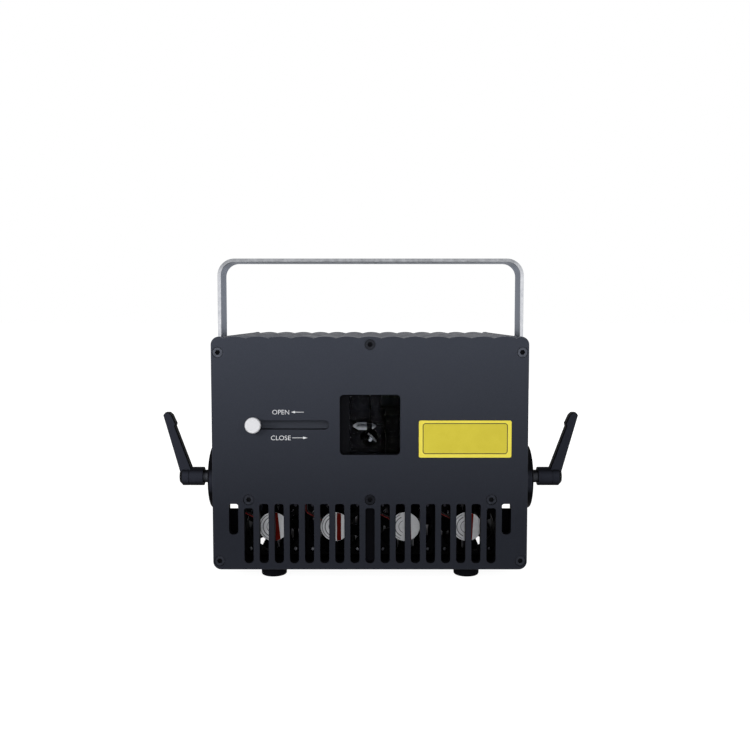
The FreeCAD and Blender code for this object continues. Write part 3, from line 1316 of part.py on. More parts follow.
def rear_panel():
    depths = (REAR_FRONT, CASE_DEPTH)
    through = past(depths)
    gap = FIXED_CLEARANCE * 2
    tools = vent_tools(through)
    for x, height in screw_places():
        tools.append(rod_y(SCREW_SHANK_RADIUS + FIXED_CLEARANCE, through, x, height))
    tall = INLET_BODY_HEIGHT + gap
    tools.append(box(centred(INLET_X, INLET_BODY_WIDTH + gap), through, centred(INLET_HEIGHT, tall)))
    tall = SWITCH_TALL + gap
    tools.append(box(centred(SWITCH_X, SWITCH_WIDTH + gap), through, centred(SWITCH_HEIGHT, tall)))
    tools.append(rod_y(KEY_BARREL_RADIUS + FIXED_CLEARANCE, through, KEY_X, KEY_HEIGHT))
    for x in (DMX_IN_X, DMX_OUT_X, INTERLOCK_X):
        tools.append(rod_y(XLR_BODY_RADIUS + FIXED_CLEARANCE, through, x, XLR_HEIGHT))
    wide = SIGNAL_SHELL_WIDTH + gap
    tools.append(box(centred(SIGNAL_X, wide), through, centred(SIGNAL_HEIGHT, SIGNAL_SHELL_HEIGHT + gap)))
    for x in button_places():
        tools.append(rod_y(BUTTON_RADIUS + SLIDE_CLEARANCE, through, x, PANEL_ROW_HEIGHT))
    tools.append(rod_y(LAMP_RADIUS + FIXED_CLEARANCE, through, LAMP_X, LAMP_HEIGHT))
    return panel_blank(depths, CASE_DEPTH).cut(tools)


def mains_inlet():
    face = CASE_DEPTH + FLANGE_THICKNESS
    flange_width = centred(INLET_X, INLET_FLANGE_WIDTH)
    flange_heights = centred(INLET_HEIGHT, INLET_FLANGE_HEIGHT)
    flange = rounded_y(flange_width, (CASE_DEPTH, face), flange_heights, INLET_RADIUS)
    body_depths = (face - INLET_BODY_DEPTH, CASE_DEPTH)
    body = box(centred(INLET_X, INLET_BODY_WIDTH), body_depths, centred(INLET_HEIGHT, INLET_BODY_HEIGHT))
    recess_depths = (face - INLET_RECESS_DEPTH, face + CUT_OVERRUN)
    recess_heights = centred(INLET_HEIGHT, INLET_RECESS_HEIGHT)
    recess = rounded_y(centred(INLET_X, INLET_RECESS_WIDTH), recess_depths, recess_heights, INLET_RADIUS)
    return joined([flange, body]).cut(recess)


def inlet_pins():
    floor = CASE_DEPTH + FLANGE_THICKNESS - INLET_RECESS_DEPTH
    depths = (floor, floor + INLET_PIN_LENGTH)
    places = (
        (-INLET_PIN_SPREAD, -INLET_PIN_OFFSET),
        (0, INLET_PIN_OFFSET),
        (INLET_PIN_SPREAD, -INLET_PIN_OFFSET),
    )
    pins = []
    for x, rise in places:
        heights = centred(INLET_HEIGHT + rise, INLET_PIN_HEIGHT)
        pins.append(box(centred(INLET_X + x, INLET_PIN_WIDTH), depths, heights))
    return pins


def switch_axis_depth():
    return CASE_DEPTH + FLANGE_THICKNESS - ROCKER_HUB_RADIUS / 2


def switch_body():
    face = CASE_DEPTH + FLANGE_THICKNESS
    rim = SWITCH_FLANGE_RIM * 2
    flange = box(
        centred(SWITCH_X, SWITCH_WIDTH + rim),
        (CASE_DEPTH, face),
        centred(SWITCH_HEIGHT, SWITCH_TALL + rim),
    )
    body = box(
        centred(SWITCH_X, SWITCH_WIDTH),
        (face - SWITCH_DEPTH, CASE_DEPTH),
        centred(SWITCH_HEIGHT, SWITCH_TALL),
    )
    wall = SWITCH_WALL * 2
    hollow = box(
        centred(SWITCH_X, SWITCH_WIDTH - wall),
        (face - SWITCH_DEPTH + SWITCH_WALL, face + CUT_OVERRUN),
        centred(SWITCH_HEIGHT, SWITCH_TALL - wall),
    )
    pin_reach = (SWITCH_WIDTH - wall) / 2 + ROCKER_PIN_LENGTH + FIXED_CLEARANCE
    pin_span = centred(SWITCH_X, pin_reach * 2)
    pins = rod_x(ROCKER_PIN_RADIUS + RUNNING_CLEARANCE, pin_span, switch_axis_depth(), SWITCH_HEIGHT)
    return joined([flange, body]).cut([hollow, pins])


def switch_rocker():
    wide = SWITCH_WIDTH - SWITCH_WALL * 2 - SLIDE_CLEARANCE * 2
    half = SWITCH_TALL / 2 - SWITCH_WALL - SLIDE_CLEARANCE * 3
    axis = switch_axis_depth()
    face = CASE_DEPTH + FLANGE_THICKNESS
    profile = [
        (face - ROCKER_BACK / 2, -half),
        (face + ROCKER_RISE, -half),
        (face + ROCKER_RISE - ROCKER_DISH, 0),
        (face + ROCKER_RISE, half),
        (face - ROCKER_BACK / 2, half),
        (face - ROCKER_BACK, 0),
        (face - ROCKER_BACK / 2, -half),
    ]
    points = [Vector(SWITCH_X - wide / 2, back(depth), up(SWITCH_HEIGHT + rise)) for depth, rise in profile]
    cap = Part.Face(Part.makePolygon(points)).extrude(Vector(wide, 0, 0))
    pin_reach = SWITCH_WIDTH / 2 - SWITCH_WALL + ROCKER_PIN_LENGTH
    pin = rod_x(ROCKER_PIN_RADIUS, centred(SWITCH_X, pin_reach * 2), axis, SWITCH_HEIGHT)
    rocker = joined([cap, pin])
    return turned(rocker, axis, SWITCH_HEIGHT, SWITCH_X, Vector(1, 0, 0), ROCKER_TILT)


def key_barrel():
    face = CASE_DEPTH + KEY_FLANGE_THICKNESS
    flange = rod_y(KEY_FLANGE_RADIUS, (CASE_DEPTH, face), KEY_X, KEY_HEIGHT)
    body = rod_y(KEY_BARREL_RADIUS, (face - KEY_BARREL_DEPTH, CASE_DEPTH), KEY_X, KEY_HEIGHT)
    bore_depths = (face - KEY_PLUG_LENGTH - FIXED_CLEARANCE, face + CUT_OVERRUN)
    bore = rod_y(KEY_PLUG_RADIUS + RUNNING_CLEARANCE, bore_depths, KEY_X, KEY_HEIGHT)
    return joined([flange, body]).cut(bore)


def key_plug():
    face = CASE_DEPTH + KEY_FLANGE_THICKNESS
    plug = rod_y(KEY_PLUG_RADIUS, (face - KEY_PLUG_LENGTH, face), KEY_X, KEY_HEIGHT)
    gap = FIXED_CLEARANCE * 2
    slot_depths = (face - KEY_SLOT_DEPTH, face + CUT_OVERRUN)
    slot_heights = centred(KEY_HEIGHT, KEY_BLADE_HEIGHT + gap)
    slot = box(centred(KEY_X, KEY_THICKNESS + gap), slot_depths, slot_heights)
    return plug.cut(slot)


def key():
    face = CASE_DEPTH + KEY_FLANGE_THICKNESS
    end = face + KEY_REACH
    across = centred(KEY_X, KEY_THICKNESS)
    blade_depths = (end - KEY_BOW_LENGTH - KEY_BLADE_LENGTH, end - KEY_BOW_LENGTH)
    blade = box(across, blade_depths, centred(KEY_HEIGHT, KEY_BLADE_HEIGHT))
    bow_heights = centred(KEY_HEIGHT, KEY_BOW_HEIGHT)
    grip = rounded(across, (end - KEY_BOW_LENGTH, end), bow_heights, KEY_BOW_RADIUS, Vector(1, 0, 0))
    hole = rod_x(KEY_HOLE_RADIUS, past(across), end - KEY_BOW_LENGTH / 3, KEY_HEIGHT)
    return joined([blade, grip]).cut(hole)


def pin_spots(x):
    spots = []
    for step in range(XLR_PIN_COUNT):
        angle = math.radians(90 * step)
        spots.append((x + XLR_PIN_CIRCLE * math.cos(angle), XLR_HEIGHT - XLR_PIN_CIRCLE * math.sin(angle)))
    return spots


def round_socket(x, cup):
    face = CASE_DEPTH + FLANGE_THICKNESS
    heights = centred(XLR_HEIGHT, XLR_FLANGE_HEIGHT)
    flange = rounded_y(centred(x, XLR_FLANGE_WIDTH), (CASE_DEPTH, face), heights, XLR_FLANGE_RADIUS)
    body = rod_y(XLR_BODY_RADIUS, (face - XLR_BODY_DEPTH, CASE_DEPTH), x, XLR_HEIGHT)
    ring = rod_y(XLR_RING_RADIUS, (face, face + XLR_RING_HEIGHT), x, XLR_HEIGHT)
    pieces = [flange, body, ring]
    for side in SIDES:
        place = (x + side * XLR_SCREW_SPREAD_X, XLR_HEIGHT + side * XLR_SCREW_SPREAD_Z)
        pieces.append(rod_y(XLR_SCREW_RADIUS, (face, face + XLR_SCREW_HEIGHT), *place))
    top = face + XLR_RING_HEIGHT
    end = top + CUT_OVERRUN
    if cup:
        tools = [rod_y(XLR_CUP_RADIUS, (top - XLR_CUP_DEPTH, end), x, XLR_HEIGHT)]
    else:
        tools = [rod_y(XLR_PIN_RADIUS, (top - XLR_CUP_DEPTH, end), *spot) for spot in pin_spots(x)]
    return joined(pieces).cut(tools)


def socket_pins(x):
    floor = CASE_DEPTH + FLANGE_THICKNESS + XLR_RING_HEIGHT - XLR_CUP_DEPTH
    return [rod_y(XLR_PIN_RADIUS, (floor, floor + XLR_PIN_LENGTH), *spot) for spot in pin_spots(x)]


def round_sockets():
    return Part.makeCompound([round_socket(x, False) for x in (DMX_OUT_X, INTERLOCK_X)])


def signal_socket():
    face = CASE_DEPTH + FLANGE_THICKNESS
    top = face + SIGNAL_SHELL_RISE
    flange_width = centred(SIGNAL_X, SIGNAL_FLANGE_WIDTH)
    flange_heights = centred(SIGNAL_HEIGHT, SIGNAL_FLANGE_HEIGHT)
    flange = rounded_y(flange_width, (CASE_DEPTH, face), flange_heights, SIGNAL_SHELL_RADIUS)
    heights = centred(SIGNAL_HEIGHT, SIGNAL_SHELL_HEIGHT)
    shell = rounded_y(centred(SIGNAL_X, SIGNAL_SHELL_WIDTH), (face, top), heights, SIGNAL_SHELL_RADIUS)
    body = box(centred(SIGNAL_X, SIGNAL_SHELL_WIDTH), (face - SIGNAL_BODY_DEPTH, CASE_DEPTH), heights)
    pieces = [flange, shell, body]
    for side in SIDES:
        x = SIGNAL_X + side * SIGNAL_SCREW_SPREAD
        pieces.append(rod_y(SIGNAL_SCREW_RADIUS, (face, face + SIGNAL_SCREW_HEIGHT), x, SIGNAL_HEIGHT))
    tools = []
    depths = (top - SIGNAL_HOLE_DEPTH, top + CUT_OVERRUN)
    for count, side in ((SIGNAL_UPPER_COUNT, 1), (SIGNAL_LOWER_COUNT, -1)):
        height = SIGNAL_HEIGHT + side * SIGNAL_ROW_GAP / 2
        for step in range(count):
            x = SIGNAL_X + (step - (count - 1) / 2) * SIGNAL_PITCH
            tools.append(rod_y(SIGNAL_HOLE_RADIUS, depths, x, height))
    return joined(pieces).cut(tools)


def display():
    depths = (CASE_DEPTH, CASE_DEPTH + DISPLAY_RISE)
    heights = centred(PANEL_ROW_HEIGHT, DISPLAY_TALL)
    return rounded_y(centred(DISPLAY_X, DISPLAY_WIDTH), depths, heights, DISPLAY_RADIUS)


def button_places():
    return [BUTTON_FIRST_X - BUTTON_PITCH * step for step in range(BUTTON_COUNT)]


def button_flange_span():
    end = REAR_FRONT - FACE_CLEARANCE
    return (end - BUTTON_FLANGE_THICKNESS, end)


def button_board_span():
    end = button_flange_span()[0] - BUTTON_GAP
    return (end - BOARD_THICKNESS, end)


def menu_button(x):
    top = CASE_DEPTH + BUTTON_RISE
    span = button_flange_span()
    cap = rod_y(BUTTON_RADIUS, (span[1], top), x, PANEL_ROW_HEIGHT)
    rim = [edge for edge in cap.Edges if edge.BoundBox.YMin > back(top) - BUTTON_EDGE]
    cap = cap.makeFillet(BUTTON_EDGE, rim)
    flange = rod_y(BUTTON_FLANGE_RADIUS, span, x, PANEL_ROW_HEIGHT)
    return joined([cap, flange])


def button_board():
    across = (BUTTON_BOARD_LEFT, BUTTON_BOARD_RIGHT)
    return box(across, button_board_span(), centred(PANEL_ROW_HEIGHT, BUTTON_BOARD_TALL))


def emission_lamp():
    face = CASE_DEPTH + LAMP_RIM_RADIUS - LAMP_RADIUS
    body = rod_y(LAMP_RADIUS, (face - LAMP_DEPTH, face), LAMP_X, LAMP_HEIGHT)
    rim = rod_y(LAMP_RIM_RADIUS, (CASE_DEPTH, face), LAMP_X, LAMP_HEIGHT)
    dome = Part.makeSphere(LAMP_RADIUS, Vector(LAMP_X, back(face), up(LAMP_HEIGHT)))
    dome = dome.common(rod_y(LAMP_RIM_RADIUS, (face, face + LAMP_RIM_RADIUS), LAMP_X, LAMP_HEIGHT))
    return joined([body, rim, dome])


def safety_eye():
    heights = centred(EYE_HEIGHT, EYE_BASE_TALL)
    base_end = CASE_DEPTH + EYE_BASE_THICKNESS
    base = box(centred(0, EYE_BASE_WIDTH), (CASE_DEPTH, base_end), heights)
    across = centred(0, EYE_THICKNESS)
    half = EYE_BASE_TALL / 2
    middle = CASE_DEPTH + EYE_REACH - half
    lug = box(across, (base_end, middle), heights)
    nose = rod_x(half, across, middle, EYE_HEIGHT)
    return joined([base, lug, nose]).cut(rod_x(EYE_HOLE_RADIUS, past(across), middle, EYE_HEIGHT))


# Every node of the part

def case_nodes():
    return {
        "front_panel": front_panel(),
        "housing": housing(),
        "base_plate": base_plate(),
        "rear_panel": rear_panel(),
        "optics_plate": optics_plate(),
        "pivot_blocks": both_sides(pivot_block()),
        "feet": feet(),
        "panel_screws": panel_screws(),
        "blank_plate": blank_plate(),
        "shutter_plate": shutter_plate(),
        "shutter_knob": shutter_knob(),
        "shutter_rails": Part.makeCompound([shutter_rail(sign) for sign in SIDES]),
        "aperture_glass": aperture_glass(),
    }


def yoke_nodes():
    return {
        "yoke_bracket": yoke_bracket(),
        "yoke_bushes": both_sides(yoke_bush()),
        "pivot_discs": both_sides(pivot_disc()),
        "clamp_stud_left": mirrored(clamp_stud()),
        "clamp_stud_right": clamp_stud(),
        "clamp_lever_left": mirrored(clamp_lever()),
        "clamp_lever_right": clamp_lever(),
    }


def cooling_nodes():
    nodes = {
        "fan_labels": fan_labels(),
        "fan_screws": fan_screws(),
        "fan_leads_red": fan_leads(0),
        "fan_leads_black": fan_leads(LEAD_STEP),
        "fan_bracket": fan_bracket(),
        "centre_post": centre_post(),
        "heatsink": heatsink(),
        "fan_frames": Part.makeCompound([fan_frame(x) for x in FAN_PLACES]),
    }
    for number, (x, phase) in enumerate(zip(FAN_PLACES, FAN_PHASES), start=1):
        nodes["fan_rotor_" + str(number)] = fan_rotor(x, phase)
    return nodes


def optics_nodes():
    mounts = [fold_mount(*place) for place in fold_places()]
    mirrors = [fold_mirror(*place) for place in fold_places()]
    return {
        "optics_mounts": Part.makeCompound([scan_mount(), scan_side_mount()] + mounts),
        "scan_motors": Part.makeCompound([scan_motor_x(), scan_motor_y()]),
        "scan_shaft_x": scan_shaft_x(),
        "scan_mirror_x": scan_mirror_x(),
        "scan_shaft_y": scan_shaft_y(),
        "scan_mirror_y": scan_mirror_y(),
        "laser_modules": laser_modules(),
        "fold_mirrors": Part.makeCompound(mirrors),
        "power_supply": power_supply(),
        "circuit_boards": circuit_boards(),
        "standoffs": standoffs(),
    }


def rear_nodes():
    nodes = {
        "mains_inlet": mains_inlet(),
        "switch_body": switch_body(),
        "switch_rocker": switch_rocker(),
        "key_barrel": key_barrel(),
        "key_plug": key_plug(),
        "key": key(),
        "input_socket": round_socket(DMX_IN_X, True),
        "round_sockets": round_sockets(),
        "contact_pins": Part.makeCompound(inlet_pins() + socket_pins(DMX_IN_X)),
        "signal_socket": signal_socket(),
        "display": display(),
        "emission_lamp": emission_lamp(),
        "safety_eye": safety_eye(),
    }
    for number, x in enumerate(button_places(), start=1):
        nodes["menu_button_" + str(number)] = menu_button(x)
    return nodes


def main():
    os.makedirs("parts", exist_ok=True)
    nodes = {}
    for group in (case_nodes(), yoke_nodes(), cooling_nodes(), optics_nodes(), rear_nodes()):
        nodes.update(group)
    for name, shape in nodes.items():
        save(name, shape)


if __name__ == "__main__":
    main()
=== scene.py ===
import json
import math

import bmesh
import bpy
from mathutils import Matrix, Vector


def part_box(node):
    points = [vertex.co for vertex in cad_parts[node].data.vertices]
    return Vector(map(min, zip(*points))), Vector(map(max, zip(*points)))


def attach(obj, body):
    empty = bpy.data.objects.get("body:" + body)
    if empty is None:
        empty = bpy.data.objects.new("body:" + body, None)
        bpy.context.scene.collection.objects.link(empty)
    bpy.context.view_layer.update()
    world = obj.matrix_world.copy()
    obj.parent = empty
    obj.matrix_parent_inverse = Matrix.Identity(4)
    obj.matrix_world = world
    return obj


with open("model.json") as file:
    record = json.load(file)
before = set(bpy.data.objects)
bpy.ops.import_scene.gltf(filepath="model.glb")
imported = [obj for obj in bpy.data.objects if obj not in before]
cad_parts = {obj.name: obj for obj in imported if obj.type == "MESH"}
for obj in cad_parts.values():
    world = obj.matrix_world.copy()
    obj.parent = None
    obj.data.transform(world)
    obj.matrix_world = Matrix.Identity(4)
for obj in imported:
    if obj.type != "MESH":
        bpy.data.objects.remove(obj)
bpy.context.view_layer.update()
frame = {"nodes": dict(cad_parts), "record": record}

# The look of a laser show projector: finishes for every solid, printed marks, studio and camera.
# Sizes are in millimetres and become metres through MM.

MM = 0.001
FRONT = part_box("front_panel")[0].y / MM
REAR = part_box("rear_panel")[1].y / MM
PRINT = 0.06
NOISE_ROUGHNESS = 0.55

# Where a finish, or light and shade painted into it, changes along a solid: the start and the end of each
# change.
YOKE_BAR_SHADE_Z = (268.0, 282.0)
SHUTTER_SHADE_X = (-31.0, -30.4)
PANEL_LIGHT_Z = (55.0, 205.0)
PANEL_RIM_X = (132.0, 134.0)
PANEL_RIM_Z = (206.0, 208.0)
MIRROR_TIP_GLINT = (1.0, 4.5)
MIRROR_REFLECTION_RISE = (0.2, 0.5)
BLOCK_SHADE_X = (11.0, 12.0)
HEAD_FACE = (1.2, 1.8)
HEAD_ASIDE_X = (20.0, 40.0)
HEAD_LIGHT_Z = (150.0, 190.0)
FAN_SHADE_Z = (36.0, 48.0)
FAN_SHADE_X = (-10.0, 10.0)

# Printed marks. A word is its left, right, low and high; an arrow its left, right and height.
OPEN_WORD = (-83.7, -69.3, 145.3, 149.2)
OPEN_ARROW = (-67.8, -56.7, 147.3)
CLOSE_WORD = (-85.0, -68.1, 123.1, 127.0)
CLOSE_ARROW = (-66.8, -53.8, 125.1)
BORDER_CORNER = 2.6
FAN_INNER_X = 31.2
LABEL_MARGIN = 0.1
BAND_LEFTS = (0.2, 1.5, 0.2, 0.2)
BAND_RIGHT = 5.2
BAND_TILTS = (6.0, 0.0, 2.0, -3.0)
RINGS = ((5.4, 0.5), (8.6, 0.8), (11.3, 0.5))
RING_ARC = (112.0, 248.0)
ROCKER_RING = (3.0, 2.3)
ROCKER_BAR = (0.4, 3.0, 0.2)
WORD_HIGH = 3.4
WORD_RISE = 3.0
IN_HALF = 2.2
OUT_HALF = 4.4
OUT_INSET = 13.0
KEY_OFF_HALF = 4.4
KEY_OFF_RISE = 13.0
KEY_ON_SPAN = (-19.4, -13.2)
POINTER_RISE = 4.6
POINTERS = (
    ((-1.8, 0), (1.2, 1.8), (1.2, -1.8)),
    ((0, 1.6), (1.8, -1.4), (-1.8, -1.4)),
    ((0, -1.6), (-1.8, 1.4), (1.8, 1.4)),
    ((1.8, 0), (-1.2, -1.8), (-1.2, 1.8)),
)
LETTER_DEPTH = 0.01
LETTER_TRIM = -0.006
LETTER_STEPS = 6


# Shader pieces

def linear(value):
    """An sRGB value of 0 to 255 as linear light."""
    share = value / 255
    return share / 12.92 if share <= 0.04045 else ((share + 0.055) / 1.055) ** 2.4


def tint(red, green, blue):
    return (linear(red), linear(green), linear(blue), 1.0)


def add(tree, kind, **inputs):
    """A shader node with some of its inputs set."""
    node = tree.nodes.new("ShaderNode" + kind)
    for name, value in inputs.items():
        node.inputs[name.replace("_", " ")].default_value = value
    return node


def join(tree, output, socket):
    tree.links.new(output, socket)


def place(tree, size, stretch=(1, 1, 1)):
    """Object coordinates in units of size millimetres, drawn out along the axes by stretch."""
    coords = add(tree, "TexCoord")
    mapping = add(tree, "Mapping", Scale=[1 / (size * MM * share) for share in stretch])
    join(tree, coords.outputs["Object"], mapping.inputs["Vector"])
    return mapping.outputs["Vector"]


def noise(tree, size, stretch=(1, 1, 1), detail=3.0):
    """Noise with grains of about size millimetres."""
    node = add(tree, "TexNoise", Scale=1.0, Detail=detail, Roughness=NOISE_ROUGHNESS)
    join(tree, place(tree, size, stretch), node.inputs["Vector"])
    return node.outputs["Fac"]


def spread(tree, source, low, high, start=0.34, end=0.66):
    """Goes from low to high while source goes from start to end."""
    node = add(tree, "MapRange", From_Min=start, From_Max=end, To_Min=low, To_Max=high)
    join(tree, source, node.inputs["Value"])
    return node.outputs["Result"]


def shade(tree, source, dark, light):
    """A colour between two tints, led by source."""
    node = tree.nodes.new("ShaderNodeValToRGB")
    first, last = node.color_ramp.elements
    first.position, last.position = 0.32, 0.68
    first.color, last.color = dark, light
    join(tree, source, node.inputs["Fac"])
    return node.outputs["Color"]


def over(tree, factor, under, top):
    """One colour laid over another where factor is high."""
    node = tree.nodes.new("ShaderNodeMix")
    node.data_type = "RGBA"
    join(tree, factor, node.inputs[0])
    for value, socket in ((under, node.inputs[6]), (top, node.inputs[7])):
        if isinstance(value, tuple):
            socket.default_value = value
        else:
            join(tree, value, socket)
    return node.outputs[2]


def bump(tree, source, depth):
    node = add(tree, "Bump", Strength=1.0, Distance=depth * MM)
    join(tree, source, node.inputs["Height"])
    return node.outputs["Normal"]


def calc(tree, operation, *values):
    node = tree.nodes.new("ShaderNodeMath")
    node.operation = operation
    for value, socket in zip(values, node.inputs):
        if isinstance(value, float):
            socket.default_value = value
        else:
            join(tree, value, socket)
    return node.outputs[0]


def axes(tree, vector):
    """The X, Y and Z of a vector, each as a socket."""
    node = add(tree, "SeparateXYZ")
    join(tree, vector, node.inputs[0])
    return node.outputs


def facing(tree, axis):
    """1 where the surface looks along an axis of its object, 0 where it lies along it."""
    coords = add(tree, "TexCoord")
    return calc(tree, "ABSOLUTE", axes(tree, coords.outputs["Normal"])[axis])


def begin(name, **settings):
    """A new material with its tree and its main shader."""
    look = bpy.data.materials.new("look_" + name)
    look.use_nodes = True
    shader = look.node_tree.nodes["Principled BSDF"]
    for key, value in settings.items():
        shader.inputs[key.replace("_", " ")].default_value = value
    return look, look.node_tree, shader


def surface(name, dark, light, rough, grain, depth, stretch=(1, 1, 1), patch=40.0, **settings):
    """A finish whose colour drifts between two tints, with a grain that roughens and breaks up its gloss."""
    look, tree, shader = begin(name, **settings)
    fine = noise(tree, grain, stretch)
    broad = noise(tree, patch, detail=4.0)
    mixed = calc(tree, "MULTIPLY_ADD", fine, 0.45, spread(tree, broad, 0.12, 0.42))
    join(tree, shade(tree, mixed, tint(*dark), tint(*light)), shader.inputs["Base Color"])
    join(tree, spread(tree, mixed, rough[0], rough[1]), shader.inputs["Roughness"])
    join(tree, bump(tree, fine, depth), shader.inputs["Normal"])
    return look


def clear_glass(name):
    """Thin clear glass with a faint smear."""
    look, tree, shader = begin(name, Transmission_Weight=1.0, IOR=1.05)
    smear = noise(tree, 22.0, (1, 1, 0.3), detail=5.0)
    join(tree, shade(tree, smear, tint(240, 243, 246), tint(250, 251, 252)), shader.inputs["Base Color"])
    join(tree, spread(tree, smear, 0.0, 0.04), shader.inputs["Roughness"])
    return look


def circuit_board(name):
    """Green board with tracks and solder pads."""
    look, tree, shader = begin(name, Specular_IOR_Level=0.5)
    tracks = tree.nodes.new("ShaderNodeTexBrick")
    for key, value in (("Scale", 1.0), ("Mortar Size", 0.09), ("Brick Width", 2.6), ("Row Height", 0.7)):
        tracks.inputs[key].default_value = value
    tracks.inputs["Color1"].default_value = tint(8, 30, 18)
    tracks.inputs["Color2"].default_value = tint(10, 38, 22)
    tracks.inputs["Mortar"].default_value = tint(22, 62, 38)
    join(tree, place(tree, 5.0), tracks.inputs["Vector"])
    pads = add(tree, "TexVoronoi", Scale=1.0, Randomness=0.35)
    join(tree, place(tree, 6.5), pads.inputs["Vector"])
    dots = spread(tree, pads.outputs["Distance"], 1.0, 0.0, 0.16, 0.2)
    join(tree, over(tree, dots, tracks.outputs["Color"], tint(120, 120, 114)), shader.inputs["Base Color"])
    join(tree, spread(tree, noise(tree, 9.0), 0.28, 0.45), shader.inputs["Roughness"])
    join(tree, bump(tree, tracks.outputs["Fac"], 0.03), shader.inputs["Normal"])
    return look


def foil_label(name):
    """Silvery paper with faint creases and specks."""
    look, tree, shader = begin(name, Metallic=0.1)
    creases = noise(tree, 7.0, detail=5.0)
    fine = noise(tree, 0.35)
    paper = shade(tree, creases, tint(214, 216, 220), tint(234, 235, 238))
    speck = spread(tree, fine, 0.0, 0.35, 0.5, 0.8)
    join(tree, over(tree, speck, paper, tint(188, 190, 196)), shader.inputs["Base Color"])
    join(tree, spread(tree, creases, 0.3, 0.48), shader.inputs["Roughness"])
    join(tree, bump(tree, creases, 0.04), shader.inputs["Normal"])
    return look


def strap_metal(name):
    """Brushed strap with fine lines along its run; a painted highlight on the faces that look forward and
    back, painted shade on the faces that look up and down and on the top bar.
    """
    look, tree, shader = begin(name, Metallic=1.0, Specular_Tint=(0.5, 0.52, 0.56, 1.0))
    lines = noise(tree, 0.3, (90, 1, 90), detail=2.0)
    sides = shade(tree, lines, tint(112, 117, 126), tint(138, 142, 150))
    # Painted shade: a darker tint for the faces that look up and down.
    under = shade(tree, lines, tint(84, 88, 96), tint(104, 108, 115))
    faces = over(tree, spread(tree, facing(tree, "Z"), 0.0, 1.0, 0.5, 0.9), sides, under)
    # Painted highlight: the faces that look forward and back are paler.
    painted_light_mask = spread(tree, facing(tree, "Y"), 0.0, 1.0, 0.45, 0.85)
    patches = noise(tree, 5.0, (1, 4, 1))
    arms = shade(tree, patches, tint(193, 195, 201), tint(219, 220, 224))
    # Painted shade: the top bar is darker than the arms.
    bar = shade(tree, patches, tint(146, 148, 152), tint(176, 178, 182))
    painted_bar_shade = spread(tree, axes(tree, place(tree, 1.0))["Z"], 0.0, 1.0, *YOKE_BAR_SHADE_Z)
    join(tree, over(tree, painted_light_mask, faces, over(tree, painted_bar_shade, arms, bar)), shader.inputs["Base Color"])
    join(tree, spread(tree, lines, 0.3, 0.42), shader.inputs["Roughness"])
    join(tree, bump(tree, lines, 0.006), shader.inputs["Normal"])
    return look


def shutter_metal(name):
    """Grey anodised sheet, brushed along its run, with painted shade that makes the end seen in the aperture
    near black.
    """
    look, tree, shader = begin(name, **SATIN)
    lines = noise(tree, 0.4, (40, 1, 1))
    grey = shade(tree, lines, tint(56, 59, 66), tint(66, 69, 77))
    # Painted shade: near black on the end that shows in the aperture.
    black = shade(tree, noise(tree, 1.5), tint(8, 8, 10), tint(14, 14, 17))
    end = spread(tree, axes(tree, place(tree, 1.0))["X"], 0.0, 1.0, *SHUTTER_SHADE_X)
    join(tree, over(tree, end, grey, black), shader.inputs["Base Color"])
    join(tree, spread(tree, lines, 0.44, 0.58), shader.inputs["Roughness"])
    join(tree, bump(tree, lines, 0.012), shader.inputs["Normal"])
    return look


def panel_metal(name):
    """Anodised plate with painted light that makes it paler towards its top, and painted shade that makes
    the sides of its openings near black.
    """
    look, tree, shader = begin(name, **SATIN)
    grain = noise(tree, 0.32)
    spots = axes(tree, place(tree, 1.0))
    # Painted light: darker tints below, lighter tints higher up.
    low = shade(tree, grain, tint(32, 34, 40), tint(38, 40, 47))
    high = shade(tree, grain, tint(55, 58, 66), tint(62, 65, 74))
    face = over(tree, spread(tree, spots["Z"], 0.0, 1.0, *PANEL_LIGHT_Z), low, high)
    # Painted shade: near black on the faces inside the openings, inside the rim.
    painted_wall_shade = spread(tree, facing(tree, "Y"), 1.0, 0.0, 0.4, 0.66)
    within = spread(tree, calc(tree, "ABSOLUTE", spots["X"]), 1.0, 0.0, *PANEL_RIM_X)
    below = spread(tree, spots["Z"], 1.0, 0.0, *PANEL_RIM_Z)
    painted_light_mask = calc(tree, "MULTIPLY", painted_wall_shade, calc(tree, "MULTIPLY", within, below))
    join(tree, over(tree, painted_light_mask, face, tint(8, 8, 10)), shader.inputs["Base Color"])
    join(tree, spread(tree, noise(tree, 40.0, detail=4.0), 0.42, 0.56), shader.inputs["Roughness"])
    join(tree, bump(tree, grain, 0.01), shader.inputs["Normal"])
    return look


def lever_moulding(name):
    """Grained plastic with a painted highlight on the faces that look forward and back, and painted shade: a
    darker skin elsewhere and near-black flanks.
    """
    look, tree, shader = begin(name, Specular_IOR_Level=0.015)
    grain = noise(tree, 0.5)
    # Painted highlight on forward and back faces; the darker skin and the near-black flanks are painted
    # shade.
    painted_highlight = shade(tree, grain, tint(43, 45, 53), tint(51, 53, 62))
    skin = shade(tree, grain, tint(17, 18, 22), tint(23, 24, 29))
    painted_flank_shade = shade(tree, grain, tint(8, 8, 10), tint(13, 13, 15))
    side = spread(tree, facing(tree, "X"), 0.0, 1.0, 0.35, 0.65)
    shell = over(tree, spread(tree, facing(tree, "Y"), 0.0, 1.0, 0.7, 0.95), skin, painted_highlight)
    join(tree, over(tree, side, shell, painted_flank_shade), shader.inputs["Base Color"])
    join(tree, spread(tree, grain, 0.46, 0.6), shader.inputs["Roughness"])
    join(tree, bump(tree, grain, 0.04), shader.inputs["Normal"])
    return look


